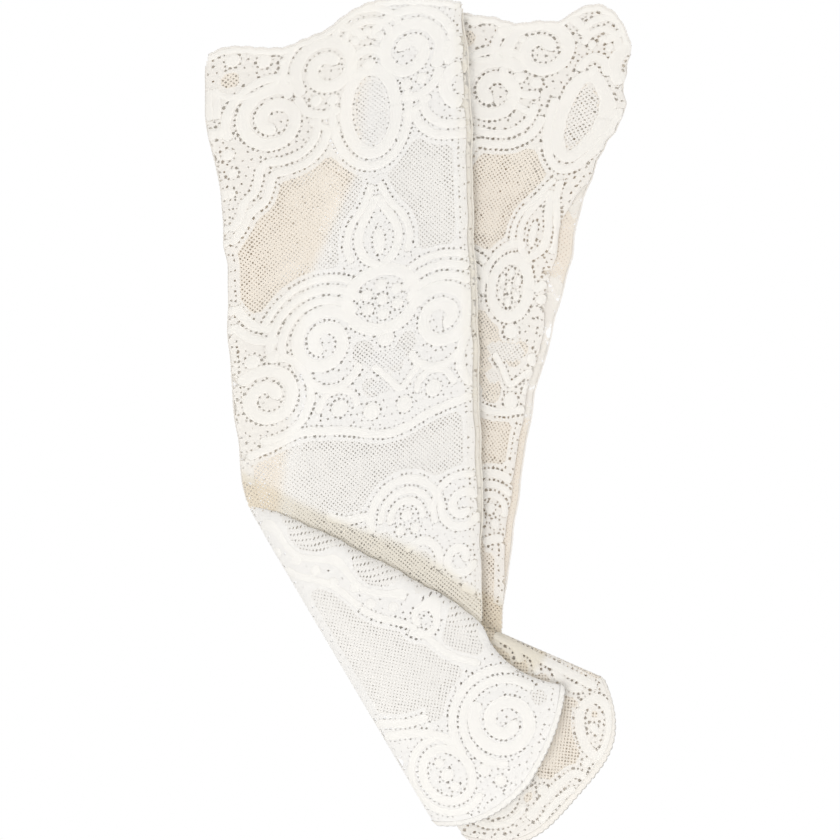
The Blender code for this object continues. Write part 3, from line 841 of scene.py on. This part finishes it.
# pale and deep colour, painted beige shade where the glove lies alone, stitches along, across and slanting, bump
clothwork = yarnMaterial("ivory clothwork", (0.94, 0.925, 0.895), (0.89, 0.87, 0.83), (1.0, 0.995, 0.985),
                         11.0, 10.0, 0.0, 0.4)
meshThread = yarnMaterial("close mesh", (0.925, 0.91, 0.885), (0.865, 0.85, 0.825), (1.0, 0.985, 0.96),
                          0.0, 9.0, 11.0, 0.5)
netThread = yarnMaterial("net thread", (0.9, 0.88, 0.85), (0.82, 0.8, 0.765), (1.0, 0.95, 0.88),
                         8.0, 5.0, 9.0, 0.4)
hemLace = yarnMaterial("hem lace", (0.94, 0.925, 0.895), (0.88, 0.86, 0.82), (1.0, 0.985, 0.965),
                       9.0, 6.0, 0.0, 0.5)
seamThread = yarnMaterial("seam thread", (0.94, 0.925, 0.9), (0.88, 0.86, 0.825), (1.0, 0.985, 0.965),
                          7.0, 3.0, 12.0, 0.6)
print("materials ready")


# The lace design: x from the mirror axis in lace units, y in millimetres from the cuff line.
design = dict(  # widths of ribbons, how far a spiral grows each turn, and where the repeats are cut
    scroll=4.9, line=3.4, fine=2.8, selvedge=2.4, pitch=6.8, halfPeriod=60.0, cut=0.6, shortest=5,
    nearDot=4, nearPath=6, edgeIn=1.6, edgePoints=200, edgeFrom=-6.0, edgeStep=2.0, edgeJoin=(0.5, 1.0))
scroll, line, fine, pitch = (design[key] for key in ("scroll", "line", "fine", "pitch"))


def cuffMotifs(g):
    lower = [
        ribbon(spiral(-38.6, 30.1, pitch, 2.05, -50, 1), scroll, -1),
        ribbon(arc(-38.6, 30.1, 17.7, 17.7, 165, 300), line, -1),
        ribbon(curve((-21.6, 32.5), (-22.6, 40), (-28, 45.8), (-36, 47.6), (-42.6, 47.2), (-45.8, 49.5),
                     (-47.1, 53.7), (-49.1, 58.3), (-53.4, 61.8), (-56.6, 68.5), (-62, 74.1)), line, -1),
        ribbon(curve((-17.8, 37.0), (-19.6, 44.5), (-26, 50.2), (-34.5, 52), (-39.6, 52.2), (-41.8, 54.5),
                     (-42.9, 58), (-45.4, 63), (-51.5, 66.8), (-54.8, 72), (-59.5, 78)), line, -1),
        dot(-52.5, 1.6, 2.8), dot(-40.6, 4.6, 2.8), dot(-33.2, 6.4, 1.7),
        dot(-58.4, 31, 2.4), dot(-57, 40.5, 2.3), dot(-56.6, 48.5, 2.1), dot(-58.8, 56.5, 2.2),
        ribbon(arc(-47.5, 10.5, 12.5, 7.5, 20, 160), fine, 0),
        ribbon(curve((-59, 12), (-58.6, 20), (-59, 25)), fine, 0)]
    upper = [
        ribbon(spiral(-16.2, 13.5, pitch, 2.0, 140, -1), scroll, 1),
        ribbon(arc(-16.2, 13.5, 17.6, 17.2, 150, 330), line, -1),
        ribbon(curve((-29.0, 22.5), (-26, 29), (-19.5, 32.6), (-12.2, 31.8)), line, -1),
        ribbon(curve((-24.6, 33.6), (-18.5, 38.2), (-12.6, 40)), fine, 0),
        dot(-21.6, 25.8, 2.4), dot(-14.9, 27.1, 2.4)]
    middle = [
        ribbon(arc(0, 35.1, 10.2, 17.4, 0, 356), scroll, -1, True), closeMesh(0, 35.1, 6.3, 13.3),
        ribbon(arc(0, 35.1, 15.6, 23.0, -15, 195), line, -1),
        ribbon(arc(0, 16.6, 7.0, 7.2, 180, 360), line, -1), dot(0, 15.6, 2.6),
        ribbon(arc(0, 6.0, 9.2, 8.6, 185, 355), fine, -1), ribbon(arc(0, 6.0, 13.6, 13.6, 200, 340), fine, -1),
        dot(-4.7, 4.6, 2.0), dot(0, 1.9, 2.0), dot(4.7, 4.6, 2.0)]
    if g is rearGlove:  # drawn together towards the right fold
        return moved(lower, 1.0, 7.0, 2.6) + moved(upper, 1.0, -1.7, -0.8) + moved(middle, 0.7, 2.9, 2.0) \
            + moved(mirrored(upper), 1.0, 3.0, 0.0) + mirrored(lower)
    return lower + mirrored(lower) + upper + mirrored(upper) + middle


def sleeveMotifs(g):
    leaf = [
        ribbon(curve((0, 70.6), (-3.4, 76.5), (-7.2, 83), (-8.4, 89), (-6.2, 95.5), (0, 100.6)), line, 1),
        ribbon(curve((-1.5, 65.6), (-5.6, 74), (-11.2, 81.5), (-13.4, 89.5), (-11.6, 96.5)), fine, 1)]
    leaf += mirrored(leaf) + [dot(0, 89.6, 2.4, 5.6)]
    left = [
        ribbon(spiral(-25.4, 126.9, pitch, 2.05, -30, 1), scroll, -1),
        ribbon(arc(-25.4, 126.9, 17.6, 17.4, 165, 325), line, -1),
        ribbon(arc(-25.4, 126.9, 22.3, 22.0, 178, 318), line, -1),
        ribbon(arc(-25.4, 126.9, 26.6, 26.6, 205, 300), fine, -1),
        ribbon(spiral(-50.0, 145.2, pitch, 2.05, 150, -1), scroll, 1),
        ribbon(arc(-50.0, 145.2, 17.6, 17.4, -75, 105), line, -1),
        dot(-54.6, 128.6, 2.9), dot(-46.6, 128.2, 2.9),
        ribbon(curve((-61.5, 101), (-57, 109), (-52, 114.5), (-43.5, 117.2)), line, 1),
        ribbon(curve((-62, 107.5), (-58.5, 114.5), (-53, 119.8), (-44, 122)), line, 0),
        ribbon(curve((-33, 141.5), (-27.5, 146), (-20.5, 146.6), (-14, 143), (-11, 138.5)), line, 1),
        ribbon(curve((-30.5, 155.5), (-26.4, 149.2), (-19.8, 147.8), (-14.4, 151.2), (-13.3, 156)), fine, -1),
        dot(-20.8, 155.4, 3.5), dot(-7.2, 159.4, 3.5), dot(-32.4, 148.6, 2.0)]
    right = mirrored(left)
    half = np.array([(-62, 168.5), (-50, 165.4), (-38, 162.2), (-28.5, 163.4), (-18.3, 165.4), (-8, 168.8),
                     (0, 170)])
    border = [ribbon(curve(*half, *(half[-2::-1] * np.array([-1.0, 1.0]))), line, 1)]
    ring = [ribbon(arc(0, 114, 14.7, 12.4, 0, 356), scroll, -1, True), dot(0, 114, 2.4)]
    ring += [dot(7.4 * np.cos(k), 114 + 6.2 * np.sin(k), 2.5, 2.3) for k in np.arange(6) * np.pi / 3 + 0.5]
    middle = [
        dot(0.5, 130.5, 3.6, 3.2), closeMesh(0, 139, 9, 4), closeMesh(-3, 150, 5, 3),
        ribbon(curve((-5.6, 140.8), (0, 146.4), (5.7, 152.4), (11, 147.8), (16.5, 142.9)), fine, 1),
        ribbon(arc(5.4, 207, 16.4, 16.4, 180, 360), line, -1),
        ribbon(arc(5.4, 207, 11.8, 11.8, 180, 360), fine, -1),
        ribbon(arc(5.4, 207, 7.4, 7.4, 170, 370), fine, -1),
        dot(5.4, 205.5, 2.4), dot(2.2, 211.5, 2.2), dot(9, 211.5, 2.2),
        ribbon(curve((-30, 199), (-22, 202.4), (-12.5, 203), (-11, 210), (-16, 220)), line, 1),
        ribbon(spiral(31, 207, 5.2, 1.9, 200, 1), line, -1),
        ribbon(arc(31, 207, 13.2, 13.2, 160, 300), fine, -1),
        ribbon(curve((4, 220), (12, 217.5), (18, 222), (18.5, 230), (14, 236)), line, 1),
        ribbon(spiral(28, 228, 5.0, 1.5, 20, -1), line, 1),
        ribbon(curve((20, 243), (26, 240), (33, 243), (35, 250)), line, 1), dot(27, 246, 2.4)]
    if g is rearGlove:  # narrower, towards the right fold
        leaf, left = moved(leaf, 0.8, 3.0, -1.0), moved(left, 1.0, -6.0, 0.0)
        border = moved(border, 1.0, 0.0, -5.0)
        ring = moved(ring, 0.66, -3.0, -1.5) + [ribbon(arc(-3.0, 112.5, 14.6, 18.6, 165, 285), line, -1)]
    return leaf + left + right + border + ring + middle


def isNear(m):  # on the panel, or partly on it
    if "dot" in m:
        return abs(m["dot"][0]) < halfWidth + design["nearDot"]
    return bool((np.abs(m["path"][:, 0]) < halfWidth + design["nearPath"]).any())


def panelMotifs(g, upper):  # the design repeated round the sleeve; the under panel goes on past the left seam
    out = []
    for part in cuffMotifs(g) + sleeveMotifs(g):
        if "dot" in part:
            pieces = [part] if abs(part["dot"][0]) <= design["halfPeriod"] else []
        else:
            path = resample(part["path"], design["cut"], part["closed"])
            keep = np.abs(path[:, 0]) <= design["halfPeriod"]
            pieces = [dict(part, path=path)]
            if not keep.all():
                pieces = [dict(part, path=path[i:j], closed=False)
                          for i, j in runs(keep) if j - i > design["shortest"]]
        for k in (-2, -1, 0, 1):
            axis = g["motifAxis"] + 2 * design["halfPeriod"] * k
            x = axis if upper else -2 * halfWidth - axis
            out += moved(pieces, 1.0 if upper else -1.0, x, g["motifShift"])
    return [m for m in out if isNear(m)]


def edgeRibbon(g):  # the woven border just inside the scallops
    u = np.linspace(-halfWidth, halfWidth, design["edgePoints"])
    return ribbon(pair(u, design["edgeIn"] - scallopDepth(g, u / halfWidth)), design["selvedge"], 1)


def selvedges(g, upper, last):  # plain woven edges beside the seams, in two lengths: the cuff's and the sleeve's
    out = []
    edge = halfWidth - 0.5 * design["selvedge"]
    past, before = design["edgeJoin"]
    spans = ((design["edgeFrom"], lie["bandDepth"] + past), (lie["bandDepth"] - before, last))
    for u, inwards in ((-edge, -1),) if g is rearGlove and not upper else ((-edge, -1), (edge, 1)):
        for span in spans:
            path = pair(u, np.arange(*span, design["edgeStep"]))
            out.append(ribbon(path, design["selvedge"], inwards, bare=True))
    return out


fold = dict(reach=7.0, level=14.0)  # the front glove bends over this reach each side of its crease
foldMiddle = 0.5 * (frontGlove["creaseEnds"][0] + frontGlove["creaseEnds"][1])
foldSpan = [toWorld(foldMiddle + way * fold["reach"] * frontGlove["creaseNormal"], np.array(fold["level"]))
            for way in (-1.0, 1.0)]
foldSpan = tuple(tuple(map(float, end)) for end in foldSpan)
bodies = dict(  # for each glove: of its sleeve, of its hand, and of what bends between them
    rear=("rear_glove",) * 3, front=("front_sleeve", "front_hand", foldSpan))


def layLace(g, zone, side, body, motifs, patch, inZone, firstSeed):
    upper = side == "upper"
    name = f"{g['name']}_{zone}_{side}_lace"
    node = f"{g['name']}_{'cuff_band' if zone == 'cuff' else zone}_{side}"
    seed = firstSeed + 2 * upper + (g is frontGlove)
    bag = newBag()
    addMotifs(bag, motifs, patch)
    addGround(bag, patch, inZone, seed)
    addNet(bag, name, patch, inZone, seed)
    yarns = [clothwork, netThread, meshThread]
    piece = makePiece(name, bag, yarns, body, node, 1 if upper else -1)
    print(piece.name, len(piece.data.polygons) * 2, "triangles")


sleeve = dict(  # the panel's margins, and how pinholes close up towards the right of the front glove
    side=0.2, top=0.7, above=0.5, past=45.0, low=-20.0, seed=3, pinMost=0.9, pinLess=0.28, pinFrom=-20.0,
    pinReach=40.0)


def sleeveLace(g, side):
    upper, sleeveEnd = side == "upper", g["creaseAt"] + sleeve["past"]
    motifs = [edgeRibbon(g)] + selvedges(g, upper, sleeveEnd) + panelMotifs(g, upper)
    low, high = (-halfWidth - 2, sleeve["low"]), (halfWidth + 2, sleeveEnd)
    most = halfWidth - sleeve["side"]

    def pinShare(uv):
        if g is rearGlove:
            return 1.0
        share = (uv[..., 0] - sleeve["pinFrom"]) / sleeve["pinReach"]
        return sleeve["pinMost"] - sleeve["pinLess"] * smooth(share)

    def top(u):
        return sleeve["top"] - scallopDepth(g, u / halfWidth)

    def bottom(u):
        a = u / halfWidth
        return creaseLine(g, a) + g["skew"] * a + drape["overlap"]

    def inside(uv):
        u, v = uv[..., 0], uv[..., 1]
        return (np.abs(u) <= most) & (v >= top(u)) & (v <= bottom(u))

    def limit(uv):
        u = np.clip(uv[..., 0], -most, most)
        return pair(u, np.clip(uv[..., 1], top(u) - sleeve["above"], bottom(u)))

    def worn(uv):
        reach = wornReach(uv[..., 0] / halfWidth)
        return (uv[..., 1] > bottom(uv[..., 0]) - reach) if upper else np.zeros(uv.shape[:-1], bool)

    patch = dict(low=low, high=high, masks=makeMasks(low, high, motifs, ground["bridge"], pinShare),
                 inside=inside, worn=worn, limit=limit,
                 lay=lambda uv, height: layOnSleeve(g, upper, uv, height))
    depths = g["cuffEdge"][1]
    sleeveBody, _, bentBody = bodies[g["name"]]
    for zone, body, longest, mean in (
            ("cuff", sleeveBody, lie["bandDepth"] + max(depths), lie["bandDepth"] + np.mean(depths)),
            ("sleeve", bentBody, g["creaseAt"] + abs(g["slant"]) - lie["bandDepth"],
             g["creaseAt"] - lie["bandDepth"])):
        def inZone(v):
            return (np.asarray(v) < lie["bandDepth"]) == (zone == "cuff")

        own = [m for m in motifs if inZone(m["dot"][1] if "dot" in m else m["path"][:, 1].mean())]
        layLace(g, zone, side, body, own, patch, inZone, sleeve["seed"])


# The hand: x across and y along the hand from the middle of the crease, millimetres.
hand = dict(  # its field, the pressed start of the rear one, and how close the pinholes are
    low=(-62.0, -62.0), high=(66.0, 130.0), seed=11, side=0.998, miss=0.1, worn=0.08,
    rearBridge=1.2, rearPins=1.1, frontPins=0.72, edge=0.974, edgePoints=60, hemEnds=0.98, hemPoints=80,
    hemIn=2.0, past=45.0, mean=8.0)
flap = dict(step=5.0, borderAt=16.5, borderWave=1.6, borderSpan=6.0, vineAt=8.0, vineWave=2.4, vineSpan=5.0,
            dotAt=12.6, dotWave=1.5, dotEvery=9.0, dotSize=2.2)  # waving ribbons beside the crease


def handMotifs(g):
    end = [
        ribbon(spiral(10.1, 86.2, pitch, 2.05, 250, 1), scroll, -1),
        ribbon(arc(10.1, 86.2, 17.8, 17.8, 120, 345), line, -1),
        ribbon(arc(10.1, 86.2, 22.2, 22.2, 175, 325), line, -1),
        ribbon(curve((-44, 54), (-33.3, 58.2), (-24.8, 63.4), (-15.6, 66.2)), line, -1),
        ribbon(curve((-44, 60.5), (-34, 64), (-24, 69), (-16.2, 75.5), (-12.4, 83)), line, 1),
        ribbon(arc(-22.5, 91, 9.8, 11.6, 0, 356), line, -1, True),
        dot(-22.5, 91, 2.6), dot(-22.5, 97, 2.0), dot(-22.5, 85, 2.0),
        ribbon(arc(-22.5, 91, 14.6, 16.4, 60, 290), fine, -1),
        dot(-37, 76, 2.6), dot(-38, 84.5, 2.4), dot(-8.5, 98, 2.6), dot(-5.5, 105.5, 2.4)]
    if g is rearGlove:  # the same scrolls, further out and cut by the finger edge
        end = [m for m in end if "dot" in m or m["path"][:, 0].mean() < 0]
        end += [
            ribbon(curve((19.8, 42), (24.2, 52.5), (30.2, 66), (36.2, 79.5), (39.2, 86.6)), line, 1),
            ribbon(curve((23.4, 48.3), (23.2, 53), (20.8, 58)), line, 1),
            ribbon(curve((27.4, 57), (25.8, 62), (23, 66.5)), fine, 1),
            ribbon(curve((30.6, 69), (29.6, 74), (31, 80), (34.6, 83.2)), line, 1),
            ribbon(curve((28.3, 88.6), (36.2, 90.1), (36.6, 97.8), (30.5, 106), (21.9, 109.4), (20, 103.5),
                         (23, 95.1), (28.3, 88.6)), 4.0, 1),
            dot(27.6, 99.5, 1.6, 3.0),
            ribbon(curve((-18, 111), (-5.1, 108.6), (3.2, 108), (9.2, 108.8), (12, 113)), line, -1),
            ribbon(curve((-15, 115.6), (-5, 113.4), (3, 113.2), (6.5, 115.6)), fine, -1),
            dot(16, 108.5, 2.0), dot(14.4, 114, 1.8)]
    wayUv, offUv = handUv(g, g["creaseWay"]), handUv(g, g["creaseNormal"])

    def strip(k, away):  # a place along the crease, so far from it
        return tuple(k * wayUv + away * offUv)

    def wavy(first, last, holes, key, turn=0.0):
        return ribbon(curve(*[
            strip(k, flap[key + "At"] + flap[key + "Wave"] * np.sin(k / flap[key + "Span"] + turn))
            for k in np.arange(first, last, flap["step"])]), fine, holes)

    top = [wavy(-60.0, 7.0, 0, "border"), wavy(5.0, 32.0, 1, "border"), wavy(30.0, 61.0, 0, "border"),
           wavy(-60.0, 22.0, 0, "vine", 1.0), ribbon(spiral(*strip(30, 9.6), 5.2, 1.5, 170, 1), fine, -1)]
    top += [dot(*strip(k, flap["dotAt"] + flap["dotWave"] * np.sin(k)), flap["dotSize"], holes=0)
            for k in np.arange(-46.0, 20.0, flap["dotEvery"])]
    return top + end


def hemBorder(g):  # a narrow strip of close mesh that follows the finger edge, inside the hem
    a = np.linspace(-hand["hemEnds"], hand["hemEnds"], hand["hemPoints"])
    plan = fingerEdge(g, a) - (drape["hem"] + hand["hemIn"]) * g["fingerWay"] - g["creaseMiddle"]
    return ribbon(handUv(g, plan), design["selvedge"], -1, bare=True)


def handSides(g):  # the woven edges beside the hand's seams
    t = np.linspace(0.0, 1.0, hand["edgePoints"])
    edges = (-hand["edge"],) if g is rearGlove else (-hand["edge"], hand["edge"])
    plans = [handPlan(g, np.full_like(t, a), t) - g["creaseMiddle"] for a in edges]
    return [ribbon(handUv(g, plan), design["selvedge"], bare=True) for plan in plans]


def handLace(g, side):
    upper = side == "upper"
    motifs = [hemBorder(g)] + handSides(g) + handMotifs(g)
    bridge, pinShare = ground["bridge"], hand["frontPins"]
    if g is rearGlove:
        bridge, pinShare = hand["rearBridge"], hand["rearPins"]

    def inside(uv):
        plan = handPoint(g, uv)
        a, t = handFind(g, plan)
        miss = np.linalg.norm(handPlan(g, a, t) - plan, axis=-1)
        return (np.abs(a) <= hand["side"]) & (t >= 0.0) & (t <= 1.0) & (miss < hand["miss"])

    def worn(uv):
        return (handFind(g, handPoint(g, uv))[1] < hand["worn"]) & (g is rearGlove) & upper

    patch = dict(low=hand["low"], high=hand["high"], inside=inside, worn=worn, limit=lambda uv: uv,
                 masks=makeMasks(hand["low"], hand["high"], motifs, bridge, lambda uv: pinShare),
                 lay=lambda uv, height: layOnHand(g, upper, uv, height))
    layLace(g, "hand", side, bodies[g["name"]][2], motifs, patch, lambda v: True, hand["seed"])


for glove in gloves:
    for side in ("under", "upper"):
        sleeveLace(glove, side)
        handLace(glove, side)
print("lace made")


# Cords: the edging round each cuff and the seams; and the hems.
cord = dict(step=0.45, sides=10)
edging = dict(twist=4.2, ply=2, swell=0.22, flat=1.0, share=0.8, points=161, inset=0.2, lift=0.25)
seam = dict(twist=3.0, ply=2, swell=0.16, flat=0.85, share=0.42, points=60, inset=0.3, bare=0.35, ends=0.02)
hemBand = dict(  # its section: places across, and how thick it is at each
    rings=420, inset=0.9, rib=0.08, ribbed=0.09, ribTurn=2.6, picotEvery=2.9, under=-0.9,
    flatWidth=0.01, width=0.0031, roundMore=1.2,
    across=np.array([0.0, 0.25, 0.5, 0.75, 1.0, 0.75, 0.5, 0.25]),
    thick=np.array([-0.2, 0.08, 0.14, 0.1, -0.25, -0.4, -0.4, -0.4]))


def addCord(bag, path, radius, closed, kind):
    # plied cord: radius * (1 + swell * cos(ply * angle - twist * length)), flattened upwards
    path = resample(path, 0.001 * cord["step"], closed, int)
    way = wayAlong(path, closed)
    side = unit(np.cross(way, np.array([0.0, 0.0, 1.0])))
    up = np.cross(side, way)
    length = np.arange(len(path)) * cord["step"]
    angle = np.linspace(0.0, 2 * np.pi, cord["sides"], endpoint=False)
    turn = kind["ply"] * angle[None, :] - kind["twist"] * length[:, None]
    r = radius * 0.001 * (1.0 + kind["swell"] * np.cos(turn))
    ring = path[:, None, :] + (r * np.cos(angle))[..., None] * side[:, None, :] \
        + (kind["flat"] * r * np.sin(angle))[..., None] * up[:, None, :]
    addToBag(bag, ring, tubeQuads(len(path), cord["sides"], closed), pair(length[:, None], angle * radius), 0)


def edgingLoop(g):  # along the upper scallops and back along the under ones
    u = np.linspace(-halfWidth, halfWidth, edging["points"])[2:-2]
    uv = pair(u, edging["inset"] - scallopDepth(g, u / halfWidth))
    upper = layOnSleeve(g, True, uv, np.zeros_like(u))
    under = layOnSleeve(g, False, uv, np.full_like(u, -edging["lift"]))
    return np.concatenate([upper, under[::-1]])


def seamPath(g, part, side):  # down the side of the sleeve or the hand, a little inside it
    share = np.linspace(0.0, 1.0, seam["points"])
    ones = np.full_like(share, side)
    if part == "sleeve":
        first, last = -g["skew"] * side, creaseLine(g, side)
        bare = lie["seamSetback"] / (last - first) * seam["bare"]
        plan = sleevePlan(g, ones, first + (last - first) * (bare + (1 - 2 * bare) * share))
    else:
        plan = handPlan(g, ones, seam["ends"] + (1 - 2 * seam["ends"]) * share)
    plan = plan - normals(plan) * side * seam["inset"]
    return toWorld(plan, restHeight(g, plan) + max(lie["seamRadius"], lie["lace"] + 0.5 * lie["gap"]))


def hemStrip(g, upper):  # a flat band along the finger edge with a ribbed, slightly rolled outer edge
    a = np.sin(0.5 * np.pi * np.linspace(-1.0, 1.0, hemBand["rings"]))
    share, thick = hemBand["across"], hemBand["thick"]
    edge = fingerEdge(g, a)
    length = np.cumsum(np.linalg.norm(np.gradient(edge, axis=0), axis=1))
    picot = drape["picot"] * np.abs(np.sin(np.pi * length / hemBand["picotEvery"]))
    out = picot[:, None] * share - (drape["hem"] + hemBand["inset"]) * (1.0 - share)
    plan = edge[:, None, :] + out[..., None] * g["fingerWay"]
    rib = hemBand["rib"] * np.sin(length * hemBand["ribTurn"])[:, None] * (thick > hemBand["ribbed"])[None, :]
    base = layerBase(g, upper, plan)
    if upper:
        base = base + (lie["fingerLoft"] + ripple(plan, drape["handPhase"])) * bow(a)[:, None]
    z = base + (thick + rib) * (1.0 if upper else hemBand["under"])
    return toWorld(plan, z), pair(length[:, None], share * lie["hem"])


for glove in gloves:
    name = glove["name"]
    sleeveBody, handBody, bentBody = bodies[name]
    bag = newBag()
    addCord(bag, edgingLoop(glove), lie["edgingRadius"] * edging["share"], True, edging)
    makePiece(f"{name}_cuff_edging_cord", bag, [seamThread], sleeveBody, f"{name}_cuff_edging")
    for part in ("sleeve", "hand"):
        for word, side in (("outer", -1.0), ("inner", 1.0)):
            bag = newBag()
            addCord(bag, seamPath(glove, part, side), lie["seamRadius"] * seam["share"], False, seam)
            makePiece(f"{name}_{part}_{word}_overlock", bag, [seamThread], bentBody,
                      f"{name}_{part}_{word}_seam")
    for word in ("under", "upper"):
        points, pattern = hemStrip(glove, word == "upper")
        bag = newBag()
        addToBag(bag, points, tubeQuads(hemBand["rings"], len(hemBand["across"]), False), pattern, 0)
        piece = makePiece(f"{name}_finger_hem_{word}_band", bag, [hemLace], handBody,
                          f"{name}_finger_hem_{word}")
print("cords and hems made")


# The stage: camera, lamps and table.
view = dict(pixel=0.42, pixels=840, lens=150.0, sensor=36.0, level=9.0, farthest=20.0)
camera = bpy.data.cameras.new("camera")
camera.lens, camera.sensor_width, camera.clip_end = view["lens"], view["sensor"], view["farthest"]
cameraObject = addObject("camera", camera)
distance = view["pixel"] * view["pixels"] * view["lens"] / view["sensor"]
cameraObject.location = tuple(0.001 * np.array([*lie["settled"], view["level"] + distance]))
bpy.context.scene.camera = cameraObject

lamps = dict(  # place in metres, size in metres, power in watts; each looks at the middle of the pair
    key=((-0.35, -0.45, 1.2), 0.6, 8.6),
    fill=((0.7, 0.5, 1.1), 1.2, 5.2))
for name, (place, size, power) in lamps.items():
    lamp = bpy.data.lights.new(name, "AREA")
    lamp.size, lamp.energy = size, power
    lampObject = addObject(name, lamp)
    lampObject.location = place
    away = unit(np.array(place))
    lampObject.rotation_euler = (np.arccos(away[2]), 0.0, np.arctan2(away[1], away[0]) + 0.5 * np.pi)
sky = dict(colour=(1.0, 1.0, 1.0), power=0.735)  # even light from all round
world = bpy.data.worlds.new("studio")
world.use_nodes = True
feed(world.node_tree, world.node_tree.nodes["Background"],
     dict(Color=opaque(sky["colour"]), Strength=sky["power"]))
bpy.context.scene.world = world

table = dict(  # lengths in metres; the shade runs between two shares of open sky
    reach=3.0, level=-0.0002, shadeReach=0.011, shadeFrom=0.1, shadeTo=0.42, shadeSamples=8,
    shaded=(0.62, 0.5, 0.36), lit=(0.95, 0.95, 0.95), rough=0.9)


def tableMaterial():  # white where the table is open, a painted warm shade where ambient occlusion finds the lace close above it
    material, tree, shader = newMaterial("table")
    shade = addNode(tree, "AmbientOcclusion", dict(Distance=table["shadeReach"]),
                    samples=table["shadeSamples"]).outputs["AO"]
    opened = addNode(tree, "MapRange", {"Value": shade, "From Min": table["shadeFrom"],
                                        "From Max": table["shadeTo"]}).outputs["Result"]
    feed(tree, shader, {"Base Color": mixNode(tree, opened, opaque(table["shaded"]), opaque(table["lit"])),
                        "Roughness": table["rough"]})
    rays = addNode(tree, "LightPath").outputs
    mirrors = mathNode(tree, "MAXIMUM", rays["Is Glossy Ray"], rays["Is Transmission Ray"])
    seen = mathNode(tree, "MAXIMUM", rays["Is Camera Ray"], mirrors)
    mixShaders(tree, mathNode(tree, "MULTIPLY", seen, opened), shader, addNode(tree, "Emission"))
    return material


corners = [(x * table["reach"], y * table["reach"], table["level"])
           for x, y in ((-1, -1), (1, -1), (1, 1), (-1, 1))]
tableMesh = bpy.data.meshes.new("table")
tableMesh.from_pydata(corners, [], [(0, 1, 2, 3)])
tableMesh.materials.append(tableMaterial())
floor = addObject("table", tableMesh)
bpy.context.scene.view_settings.view_transform = "Standard"
print("stage set")
